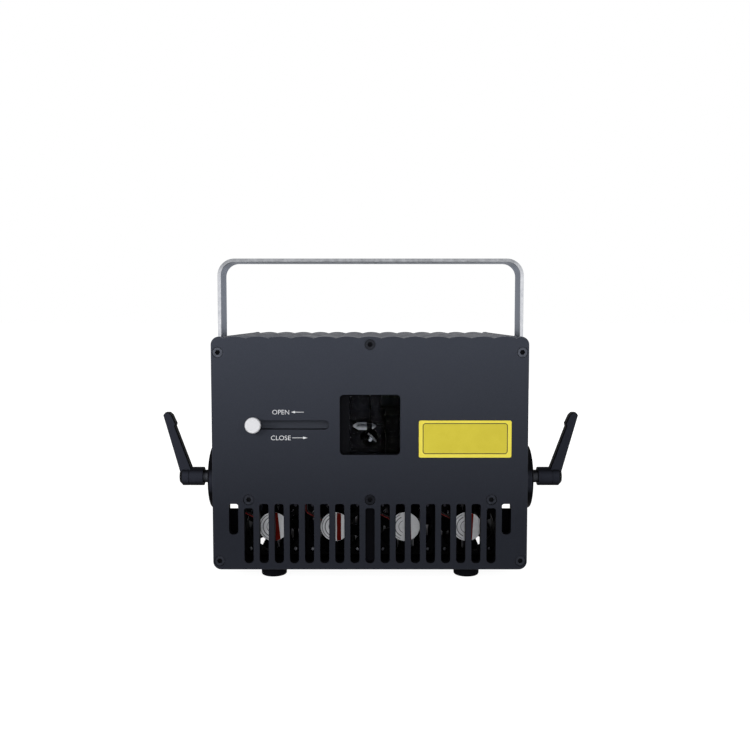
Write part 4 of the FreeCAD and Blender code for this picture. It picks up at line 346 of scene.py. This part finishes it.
def mirror_coat(name):
    """Silvered glass with a painted reflection, pale low down and at its tip and darker upwards; ground grey
    on the edges that look forward and back.
    """
    look, tree, shader = begin(name, Metallic=0.15)
    haze = noise(tree, 3.0)
    low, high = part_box("scan_mirror_y")
    rise = (high.z - low.z) / MM
    # Painted reflection: a darker upper tint and a pale lower tint.
    upper = shade(tree, haze, tint(96, 98, 104), tint(124, 126, 132))
    lower = shade(tree, haze, tint(226, 228, 233), tint(242, 244, 248))
    spots = axes(tree, place(tree, 1.0))
    # Painted reflection low down, and a painted highlight at the tip.
    deep = spread(tree, spots["Z"], 1.0, 0.0, *[low.z / MM + rise * share for share in MIRROR_REFLECTION_RISE])
    tip = spread(tree, spots["X"], 1.0, 0.0, *[low.x / MM + reach for reach in MIRROR_TIP_GLINT])
    coat = over(tree, calc(tree, "MAXIMUM", deep, tip), upper, lower)
    ground = shade(tree, noise(tree, 0.3), tint(70, 72, 77), tint(92, 94, 99))
    edge = spread(tree, facing(tree, "Y"), 0.0, 1.0, 0.93, 0.97)
    join(tree, over(tree, edge, coat, ground), shader.inputs["Base Color"])
    join(tree, spread(tree, haze, 0.12, 0.26), shader.inputs["Roughness"])
    return look


def mount_metal(name):
    """Milled and blackened blocks: a dark grey scanner block, with painted shade that makes the blocks right
    of it, and every face that doesn't look forward or back, near black.
    """
    look, tree, shader = begin(name, **DULL)
    lines = noise(tree, 0.6, (1, 1, 30))
    block = shade(tree, lines, tint(20, 20, 25), tint(29, 29, 35))
    # Painted shade: near black right of the scanner block and on faces that don't look forward or back.
    black = shade(tree, lines, tint(2, 2, 3), tint(4, 4, 5))
    right = spread(tree, axes(tree, place(tree, 1.0))["X"], 0.0, 1.0, *BLOCK_SHADE_X)
    painted_wall_shade = spread(tree, facing(tree, "Y"), 1.0, 0.0, 0.3, 0.6)
    join(tree, over(tree, calc(tree, "MAXIMUM", right, painted_wall_shade), block, black), shader.inputs["Base Color"])
    join(tree, spread(tree, lines, 0.44, 0.6), shader.inputs["Roughness"])
    join(tree, bump(tree, lines, 0.01), shader.inputs["Normal"])
    return look


def round_with_painted_highlight(name, dark, light, start):
    """A black turned piece with a painted highlight along the lines that look forward and back."""
    look, tree, shader = begin(name, **DULL)
    grain = noise(tree, 0.5, (1, 12, 12))
    black = shade(tree, grain, tint(9, 9, 11), tint(15, 15, 18))
    grey = shade(tree, grain, tint(*dark), tint(*light))
    # Painted highlight: grey where the surface looks forward and back.
    pale_faces = spread(tree, facing(tree, "Y"), 0.0, 1.0, start, 0.99)
    join(tree, over(tree, pale_faces, black, grey), shader.inputs["Base Color"])
    join(tree, spread(tree, grain, 0.34, 0.48), shader.inputs["Roughness"])
    join(tree, bump(tree, grain, 0.01), shader.inputs["Normal"])
    return look


def screw_metal(name):
    """Blackened screws; the faces of the heads at the sides are grey, and painted light makes the upper ones
    paler.
    """
    look, tree, shader = begin(name, **SATIN)
    grain = noise(tree, 0.5)
    spots = axes(tree, place(tree, 1.0))
    front = spread(tree, spots["Y"], 1.0, 0.0, *[FRONT + depth for depth in HEAD_FACE])
    rear = spread(tree, spots["Y"], 0.0, 1.0, *[REAR + depth for depth in HEAD_FACE])
    aside = spread(tree, calc(tree, "ABSOLUTE", spots["X"]), 0.25, 1.0, *HEAD_ASIDE_X)
    face = spread(tree, facing(tree, "Y"), 0.0, 1.0, 0.7, 0.95)
    outer = calc(tree, "MULTIPLY", aside, calc(tree, "MAXIMUM", front, rear))
    pale_faces = calc(tree, "MULTIPLY", face, outer)
    wear = noise(tree, 3.0)
    # Painted light: the upper heads get the paler grey.
    lower = shade(tree, wear, tint(36, 38, 44), tint(50, 52, 59))
    upper = shade(tree, wear, tint(72, 75, 83), tint(88, 91, 100))
    grey = over(tree, spread(tree, spots["Z"], 0.0, 1.0, *HEAD_LIGHT_Z), lower, upper)
    black = shade(tree, grain, tint(7, 7, 9), tint(13, 13, 16))
    join(tree, over(tree, pale_faces, black, grey), shader.inputs["Base Color"])
    join(tree, spread(tree, grain, 0.34, 0.48), shader.inputs["Roughness"])
    join(tree, bump(tree, grain, 0.02), shader.inputs["Normal"])
    return look


def plated_screws(name):
    """Zinc-plated screws, with painted shade that darkens the upper row and those on the right."""
    look, tree, shader = begin(name, **METAL)
    grain = noise(tree, 0.5)
    bright = shade(tree, grain, tint(70, 71, 76), tint(96, 97, 102))
    # Painted shade: a darker tint for the upper row and the right.
    painted_shade_tint = shade(tree, grain, tint(24, 24, 28), tint(36, 36, 41))
    spots = axes(tree, place(tree, 1.0))
    upper = spread(tree, spots["Z"], 0.0, 1.0, *FAN_SHADE_Z)
    right = spread(tree, spots["X"], 0.0, 0.7, *FAN_SHADE_X)
    join(tree, over(tree, calc(tree, "MAXIMUM", upper, right), bright, painted_shade_tint), shader.inputs["Base Color"])
    join(tree, spread(tree, grain, 0.12, 0.22), shader.inputs["Roughness"])
    join(tree, bump(tree, grain, 0.004), shader.inputs["Normal"])
    return look


BLUISH = (0.84, 0.9, 1.0, 1.0)
SATIN = {"Specular_IOR_Level": 0.05, "Specular_Tint": BLUISH}
DULL = {"Specular_IOR_Level": 0.012}
METAL = {"Metallic": 1.0}

LOOKS = {
    "panel_black": panel_metal("panel_black"),
    "housing_black": surface(
        "housing_black", (37, 40, 50), (50, 54, 65),
        rough=(0.4, 0.56), grain=0.4, depth=0.012, stretch=(1, 60, 1), patch=60.0, **SATIN),
    "plate_black": surface(
        "plate_black", (13, 13, 16), (19, 19, 23),
        rough=(0.5, 0.66), grain=0.3, depth=0.01, **DULL),
    "steel_black": surface(
        "steel_black", (6, 6, 7), (12, 12, 14),
        rough=(0.5, 0.66), grain=0.7, depth=0.035, **DULL),
    "strap_silver": strap_metal("strap_silver"),
    "knob_silver": surface(
        "knob_silver", (208, 208, 211), (217, 217, 220),
        rough=(0.36, 0.5), grain=0.3, depth=0.008, Metallic=0.2),
    "fin_silver": surface(
        "fin_silver", (130, 131, 136), (170, 171, 176),
        rough=(0.32, 0.5), grain=0.4, depth=0.01, stretch=(1, 50, 1), **METAL),
    "shutter_grey": shutter_metal("shutter_grey"),
    "module_silver": surface(
        "module_silver", (140, 141, 146), (180, 181, 186),
        rough=(0.3, 0.46), grain=0.35, depth=0.01, stretch=(1, 30, 1), **METAL),
    "screw_black": screw_metal("screw_black"),
    "steel": surface(
        "steel", (140, 141, 146), (180, 181, 184),
        rough=(0.22, 0.38), grain=0.4, depth=0.01, stretch=(20, 1, 1), **METAL),
    "black_plastic": surface(
        "black_plastic", (23, 24, 28), (31, 32, 37),
        rough=(0.42, 0.58), grain=0.45, depth=0.03, **SATIN),
    "lever_plastic": lever_moulding("lever_plastic"),
    "fan_plastic": surface(
        "fan_plastic", (5, 5, 6), (10, 10, 11),
        rough=(0.4, 0.56), grain=0.6, depth=0.02, **DULL),
    "button_grey": surface(
        "button_grey", (96, 98, 104), (122, 124, 130),
        rough=(0.4, 0.55), grain=0.3, depth=0.015),
    "red_plastic": surface(
        "red_plastic", (150, 14, 14), (186, 24, 20),
        rough=(0.22, 0.34), grain=0.4, depth=0.01, Coat_Weight=0.3),
    "board_green": circuit_board("board_green"),
    "display_black": surface(
        "display_black", (6, 7, 9), (12, 13, 18),
        rough=(0.12, 0.22), grain=1.2, depth=0.002, Specular_IOR_Level=0.15),
    "label_silver": foil_label("label_silver"),
    "plate_yellow": surface(
        "plate_yellow", (232, 216, 67), (238, 222, 83),
        rough=(0.4, 0.54), grain=0.5, depth=0.012, patch=18.0),
    "lead_red": surface(
        "lead_red", (88, 10, 12), (112, 18, 18),
        rough=(0.4, 0.55), grain=0.4, depth=0.02),
    "lead_black": surface(
        "lead_black", (10, 10, 11), (18, 18, 20),
        rough=(0.4, 0.55), grain=0.4, depth=0.02),
    "rubber_black": surface(
        "rubber_black", (14, 14, 17), (21, 21, 25),
        rough=(0.62, 0.8), grain=0.5, depth=0.05, **DULL),
    "bush_nylon": surface(
        "bush_nylon", (18, 18, 20), (28, 28, 31),
        rough=(0.4, 0.55), grain=0.5, depth=0.02),
    "glass_clear": clear_glass("glass_clear"),
    "mirror_silver": mirror_coat("mirror_silver"),
    "pin_brass": surface(
        "pin_brass", (182, 150, 82), (212, 178, 104),
        rough=(0.22, 0.36), grain=0.3, depth=0.006, **METAL),
}
MARK_WHITE = surface(
    "mark_white", (208, 209, 212), (226, 227, 230),
    rough=(0.5, 0.64), grain=0.25, depth=0.006)
BAND_RED = surface(
    "band_red", (94, 18, 11), (114, 25, 16),
    rough=(0.42, 0.56), grain=0.4, depth=0.006, **DULL)
RING_GREY = surface(
    "ring_grey", (84, 86, 92), (104, 106, 112),
    rough=(0.42, 0.56), grain=0.4, depth=0.006)
FIELD_YELLOW = surface(
    "field_yellow", (204, 188, 43), (212, 197, 57),
    rough=(0.4, 0.54), grain=0.5, depth=0.012, patch=18.0)
BORDER_DARK = surface(
    "border_dark", (50, 42, 14), (66, 57, 20),
    rough=(0.42, 0.56), grain=0.4, depth=0.006)
# The stud and the discs carry a painted highlight.
STUD = round_with_painted_highlight("stud_metal", (62, 64, 70), (84, 86, 92), 0.7)
DISC = round_with_painted_highlight("disc_plastic", (38, 40, 48), (50, 52, 61), 0.93)

# Nodes whose finish is their own and not that of their slot.
SPECIAL = {
    "clamp_stud_left": STUD,
    "clamp_stud_right": STUD,
    "pivot_discs": DISC,
    "optics_mounts": mount_metal("mount_metal"),
    "scan_shaft_x": surface(
        "shaft_grey", (96, 98, 104), (124, 126, 132),
        rough=(0.3, 0.44), grain=0.5, depth=0.004, patch=3.0, **METAL),
    "fan_screws": plated_screws("fan_screws"),
}


def dress():
    """Gives every solid the finish of its slot or its own."""
    for part in frame["record"]["subparts"]:
        solid = frame["nodes"][part["node"]]
        solid.data.materials.clear()
        solid.data.materials.append(SPECIAL.get(part["node"], LOOKS[part["material_slot"]]))


# Printed marks

def finished(name, mesh, look, body):
    """A printed piece that rides on a body."""
    piece = bpy.data.objects.new(name, mesh)
    bpy.context.scene.collection.objects.link(piece)
    mesh.materials.append(look)
    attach(piece, body)
    return piece


def prism(builder, outline, y, depth):
    """A flat closed slab: outline is a list of (x, z), its seen face at y and its back depth behind that."""
    front = [builder.verts.new((x * MM, y * MM, z * MM)) for x, z in outline]
    back = [builder.verts.new((x * MM, (y + depth) * MM, z * MM)) for x, z in outline]
    builder.faces.new(front)
    builder.faces.new(list(reversed(back)))
    for here in range(len(outline)):
        there = (here + 1) % len(outline)
        builder.faces.new((front[there], front[here], back[here], back[there]))


def frame_ring(builder, outer, inner, y, depth):
    """A flat closed ring between two outlines of as many points."""
    loops = []
    for outline in (outer, inner):
        for place_y in (y, y + depth):
            loops.append([builder.verts.new((x * MM, place_y * MM, z * MM)) for x, z in outline])
    for first, second in ((0, 2), (2, 3), (3, 1), (1, 0)):
        for here in range(len(outer)):
            there = (here + 1) % len(outer)
            corners = (loops[first][here], loops[first][there], loops[second][there], loops[second][here])
            builder.faces.new(corners)


def built(name, fill):
    """A mesh that fill puts together."""
    builder = bmesh.new()
    fill(builder)
    bmesh.ops.recalc_face_normals(builder, faces=builder.faces)
    mesh = bpy.data.meshes.new(name)
    builder.to_mesh(mesh)
    builder.free()
    return mesh


def arrow(left, right, z, points_left):
    """The outline of a slim arrow."""
    head = 3.6
    half = 1.1
    stem = 0.22
    tip, tail = (left, right) if points_left else (right, left)
    neck = tip + head if points_left else tip - head
    upper = [(neck, z + half), (neck, z + stem), (tail, z + stem)]
    lower = [(tail, z - stem), (neck, z - stem), (neck, z - half)]
    return [(tip, z)] + upper + lower


def rounded_outline(left, right, low, high, radius, steps=6):
    """A rectangle with rounded corners."""
    points = []
    corners = ((right - radius, high - radius, 0), (left + radius, high - radius, 90),
               (left + radius, low + radius, 180), (right - radius, low + radius, 270))
    for x, z, start in corners:
        for step in range(steps + 1):
            angle = math.radians(start + 90 * step / steps)
            points.append((x + radius * math.cos(angle), z + radius * math.sin(angle)))
    return points


def lettering(name, words, left, right, low, high, y, faces_back=False):
    """Words as thin raised print that fills the given rectangle on the front or the rear panel."""
    curve = bpy.data.curves.new(name, "FONT")
    curve.body = words
    curve.extrude = LETTER_DEPTH
    curve.offset = LETTER_TRIM
    curve.resolution_u = LETTER_STEPS
    carrier = bpy.data.objects.new(name, curve)
    bpy.context.scene.collection.objects.link(carrier)
    bpy.context.view_layer.update()
    mesh = bpy.data.meshes.new_from_object(carrier.evaluated_get(bpy.context.evaluated_depsgraph_get()))
    bpy.data.objects.remove(carrier)
    xs = [vertex.co.x for vertex in mesh.vertices]
    ys = [vertex.co.y for vertex in mesh.vertices]
    width = (right - left) / (max(xs) - min(xs))
    height = (high - low) / (max(ys) - min(ys))
    for vertex in mesh.vertices:
        across = (vertex.co.x - min(xs)) * width
        x = right - across if faces_back else left + across
        z = low + (vertex.co.y - min(ys)) * height
        sunk = PRINT if vertex.co.z < 0 else 0.0
        vertex.co = (x * MM, (y - sunk if faces_back else y + sunk) * MM, z * MM)
    return finished(name, mesh, MARK_WHITE, "case")


def front_marks():
    """The words and arrows beside the shutter's slot."""
    face = FRONT - PRINT
    lettering("mark_open", "OPEN", *OPEN_WORD, face)
    lettering("mark_close", "CLOSE", *CLOSE_WORD, face)

    def arrows(builder):
        prism(builder, arrow(*OPEN_ARROW, True), face, PRINT)
        prism(builder, arrow(*CLOSE_ARROW, False), face, PRINT)

    finished("mark_arrows", built("mark_arrows", arrows), MARK_WHITE, "case")


def plate_border():
    """A thin dark frame on the yellow plate and a deeper yellow inside it."""
    low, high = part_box("blank_plate")
    left, right = low.x / MM, high.x / MM
    bottom, top = low.z / MM, high.z / MM
    side, under, over_top, line = 3.2, 3.0, 2.2, 0.75
    outer = rounded_outline(left + side, right - side, bottom + under, top - over_top, BORDER_CORNER)
    side, under, over_top = side + line, under + line, over_top + line
    inner = rounded_outline(left + side, right - side, bottom + under, top - over_top, BORDER_CORNER - line)
    face = low.y / MM - PRINT
    mesh = built("plate_border", lambda builder: frame_ring(builder, outer, inner, face, PRINT))
    finished("plate_border", mesh, BORDER_DARK, "case")
    mesh = built("plate_field", lambda builder: prism(builder, inner, face + PRINT / 2, PRINT / 2))
    finished("plate_field", mesh, FIELD_YELLOW, "case")


def stripe_outline(radius, left, right, steps=6):
    """The part of a disc between two upright lines."""
    first, last = math.acos(right / radius), math.acos(left / radius)
    arc = [first + (last - first) * step / steps for step in range(steps + 1)]
    upper = [(radius * math.cos(angle), radius * math.sin(angle)) for angle in arc]
    return upper + [(x, -y) for x, y in reversed(upper)]


def fan_bands():
    """A plain red stripe across each fan label, right of its middle."""
    low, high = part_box("fan_labels")
    radius = (high.z - low.z) / MM / 2 - LABEL_MARGIN
    z = (high.z + low.z) / MM / 2
    face = low.y / MM - PRINT
    outer = high.x / MM - radius - LABEL_MARGIN

    def stripes(builder):
        for x, left, tilt in zip((-outer, -FAN_INNER_X, FAN_INNER_X, outer), BAND_LEFTS, BAND_TILTS):
            rise, run = math.sin(math.radians(tilt)), math.cos(math.radians(tilt))
            outline = stripe_outline(radius, left, BAND_RIGHT)
            turned = [(x + a * run - b * rise, z + a * rise + b * run) for a, b in outline]
            prism(builder, turned, face, PRINT)

    finished("fan_label_bands", built("fan_label_bands", stripes), BAND_RED, "case")


def arc_band(radius, width, start, end, steps=24):
    """A curved band of a ring between two angles in degrees."""
    turns = [math.radians(start + (end - start) * step / steps) for step in range(steps + 1)]
    outer = [((radius + width) * math.cos(turn), (radius + width) * math.sin(turn)) for turn in turns]
    return outer + [(radius * math.cos(turn), radius * math.sin(turn)) for turn in reversed(turns)]


def fan_rings():
    """Plain printed arcs on the left half of each fan label."""
    low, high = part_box("fan_labels")
    z = (high.z + low.z) / MM / 2
    face = low.y / MM - PRINT
    outer = high.x / MM - (high.z - low.z) / MM / 2

    def arcs(builder):
        for x in (-outer, -FAN_INNER_X, FAN_INNER_X, outer):
            for radius, width in RINGS:
                band = arc_band(radius, width, *RING_ARC)
                prism(builder, [(x + a, z + b) for a, b in band], face, PRINT)

    finished("fan_label_rings", built("fan_label_rings", arcs), RING_GREY, "case")


def circle(radius, x, z, steps=40):
    """The outline of a disc."""
    turns = [2 * math.pi * step / steps for step in range(steps)]
    return [(x + radius * math.cos(turn), z + radius * math.sin(turn)) for turn in turns]


def laid_on(mesh, node):
    """Sinks a flat print, drawn at y 0 with its seen face above 0, onto the back of a solid."""
    solid = frame["nodes"][node].evaluated_get(bpy.context.evaluated_depsgraph_get())
    for vertex in mesh.vertices:
        _, spot, _, _ = solid.ray_cast(Vector((vertex.co.x, 1.0, vertex.co.z)), Vector((0.0, -1.0, 0.0)))
        raised = PRINT * MM if vertex.co.y > 0 else 0.0
        vertex.co.y = spot.y + raised
    return mesh


def socket_mark(node, half):
    """The rectangle of a word above a socket."""
    low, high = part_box(node)
    x, z = (low.x + high.x) / MM / 2, high.z / MM + WORD_RISE
    return x - half, x + half, z, z + WORD_HIGH


def rear_marks():
    """The signs on the rocker and the words and pointers on the rear panel."""
    low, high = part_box("switch_rocker")
    x = (low.x + high.x) / MM / 2
    middle = (low.z + high.z) / MM / 2
    quarter = (high.z - low.z) / MM / 4
    ring = [circle(radius, x, middle + quarter) for radius in ROCKER_RING]
    half, reach, radius = ROCKER_BAR
    foot = middle - quarter
    bar = rounded_outline(x - half, x + half, foot - reach, foot + reach, radius)
    off = built("rocker_off", lambda builder: frame_ring(builder, *ring, PRINT, -PRINT))
    on = built("rocker_on", lambda builder: prism(builder, bar, PRINT, -PRINT))
    finished("rocker_off", laid_on(off, "switch_rocker"), MARK_WHITE, "rocker")
    finished("rocker_on", laid_on(on, "switch_rocker"), MARK_WHITE, "rocker")
    face = REAR + PRINT
    low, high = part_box("key_barrel")
    x, z = (low.x + high.x) / MM / 2, (low.z + high.z) / MM / 2
    rise = z + KEY_OFF_RISE
    lettering("mark_key_off", "OFF", x - KEY_OFF_HALF, x + KEY_OFF_HALF, rise, rise + WORD_HIGH, face, True)
    left, right = [x + offset for offset in KEY_ON_SPAN]
    lettering("mark_key_on", "ON", left, right, z - WORD_HIGH / 2, z + WORD_HIGH / 2, face, True)
    input_word = socket_mark("input_socket", IN_HALF)
    lettering("mark_in", "IN", *input_word, face, True)
    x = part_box("round_sockets")[1].x / MM - OUT_INSET
    lettering("mark_out", "OUT", x - OUT_HALF, x + OUT_HALF, *input_word[2:], face, True)
    spots = [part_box("menu_button_%d" % number) for number in (1, 2, 3, 4)]

    def pointers(builder):
        for (low, high), shape in zip(spots, POINTERS):
            x, z = (low.x + high.x) / MM / 2, high.z / MM + POINTER_RISE
            prism(builder, [(x - a, z + b) for a, b in shape], face, -PRINT)

    finished("mark_buttons", built("mark_buttons", pointers), MARK_WHITE, "case")


# Studio and camera. Places are in metres, the sensor and the lens in millimetres, the tilt in degrees.
# A lamp is its name, place, target, width and height, and power in watts.

SENSOR = 36.0
LENS = 41.76
SIGHT = 100.0
EYE_X, EYE_Z = 0.0043, 0.2282
EYE_REACH = 0.742
EYE_TILT = 86.22
FLOOR_HALF = 30.0
# Glow near the part and far from it; the weaker glow near the part is painted shade.
FLOOR_GLOW = (0.94, 1.0)
FLOOR_REACH = (0.25, 0.75)
FLOOR_GREY = (0.25, 0.25, 0.25, 1)
WHITE = (1, 1, 1, 1)
SKY = (0.93, 0.96, 1.0, 1.0)
SKY_STRENGTH = 0.18
SEEN_WHITE = ("Is Camera Ray", "Is Glossy Ray", "Is Transmission Ray")
LAMPS = (
    ("key", (-0.75, -0.75, 0.45), (0.0, -0.13, 0.12), (0.5, 0.5), 5.6),
    ("fill", (0.75, -0.75, 0.45), (0.0, -0.13, 0.12), (0.5, 0.5), 1.8),
    ("front", (0.05, -1.9, 0.45), (0.0, -0.13, 0.1), (1.0, 0.8), 13.0),
    ("top", (0.0, 0.5, 2.4), (0.0, 0.0, 0.2), (1.8, 1.4), 9.0),
    ("rear", (0.5, 1.9, 0.8), (0.0, 0.1, 0.12), (1.0, 0.8), 18.0),
    ("left", (-2.0, 0.3, 0.7), (0.0, 0.0, 0.12), (1.0, 0.8), 8.0),
    ("right", (2.0, 0.3, 0.7), (0.0, 0.0, 0.12), (1.0, 0.8), 8.0),
)


def largest(tree, names):
    """1 for rays of any of the named kinds."""
    path = tree.nodes.new("ShaderNodeLightPath")
    total = path.outputs[names[0]]
    for name in names[1:]:
        total = calc(tree, "MAXIMUM", total, path.outputs[name])
    return total


def studio_world():
    """Even light from all round, seen as white."""
    world = bpy.data.worlds.new("studio")
    bpy.context.scene.world = world
    world.use_nodes = True
    tree = world.node_tree
    light = tree.nodes["Background"]
    light.inputs["Color"].default_value = SKY
    light.inputs["Strength"].default_value = SKY_STRENGTH
    white = tree.nodes.new("ShaderNodeBackground")
    white.inputs["Color"].default_value = WHITE
    white.inputs["Strength"].default_value = 1.0
    mix = tree.nodes.new("ShaderNodeMixShader")
    join(tree, largest(tree, SEEN_WHITE), mix.inputs[0])
    join(tree, light.outputs[0], mix.inputs[1])
    join(tree, white.outputs[0], mix.inputs[2])
    join(tree, mix.outputs[0], tree.nodes["World Output"].inputs["Surface"])


def studio_floor():
    """A pale floor that is seen as white and keeps the part's shadow; its glow is a little weaker near the
    part, a painted shade around it.
    """
    mesh = bpy.data.meshes.new("floor")
    half = FLOOR_HALF
    corners = [(-half, -half, 0), (half, -half, 0), (half, half, 0), (-half, half, 0)]
    mesh.from_pydata(corners, [], [(0, 1, 2, 3)])
    floor = bpy.data.objects.new("floor", mesh)
    bpy.context.scene.collection.objects.link(floor)
    look = bpy.data.materials.new("floor")
    look.use_nodes = True
    tree = look.node_tree
    tree.nodes.remove(tree.nodes["Principled BSDF"])
    matt = tree.nodes.new("ShaderNodeBsdfDiffuse")
    matt.inputs["Color"].default_value = FLOOR_GREY
    glow = tree.nodes.new("ShaderNodeEmission")
    glow.inputs["Color"].default_value = WHITE
    coords = add(tree, "TexCoord")
    reach = add(tree, "VectorMath")
    reach.operation = "LENGTH"
    join(tree, coords.outputs["Object"], reach.inputs[0])
    # Painted shade: the glow is weaker near the part than far from it.
    glow_dimmed_near_part = spread(tree, reach.outputs["Value"], *FLOOR_GLOW, *FLOOR_REACH)
    seen = largest(tree, SEEN_WHITE)
    join(tree, calc(tree, "MULTIPLY", seen, glow_dimmed_near_part), glow.inputs["Strength"])
    both = tree.nodes.new("ShaderNodeAddShader")
    join(tree, matt.outputs[0], both.inputs[0])
    join(tree, glow.outputs[0], both.inputs[1])
    join(tree, both.outputs[0], tree.nodes["Material Output"].inputs["Surface"])
    mesh.materials.append(look)


def softbox(name, spot, target, size, power):
    """An area lamp that lights the part but shows neither to the camera nor in polished faces."""
    lamp = bpy.data.lights.new(name, "AREA")
    lamp.shape = "RECTANGLE"
    lamp.size, lamp.size_y = size
    lamp.energy = power
    holder = bpy.data.objects.new(name, lamp)
    holder.location = spot
    aim = Vector(target) - Vector(spot)
    holder.rotation_euler = aim.to_track_quat("-Z", "Y").to_euler()
    holder.visible_camera = False
    holder.visible_glossy = False
    bpy.context.scene.collection.objects.link(holder)


def camera():
    """The view of the photograph."""
    lens = bpy.data.cameras.new("camera")
    lens.sensor_width = SENSOR
    lens.lens = LENS
    lens.clip_end = SIGHT
    holder = bpy.data.objects.new("camera", lens)
    holder.location = (EYE_X, FRONT * MM - EYE_REACH, EYE_Z)
    holder.rotation_euler = (math.radians(EYE_TILT), 0.0, 0.0)
    bpy.context.scene.collection.objects.link(holder)
    bpy.context.scene.camera = holder


dress()
front_marks()
plate_border()
fan_bands()
fan_rings()
rear_marks()
studio_world()
studio_floor()
for lamp in LAMPS:
    softbox(*lamp)
camera()
bpy.context.scene.view_settings.view_transform = "Standard"
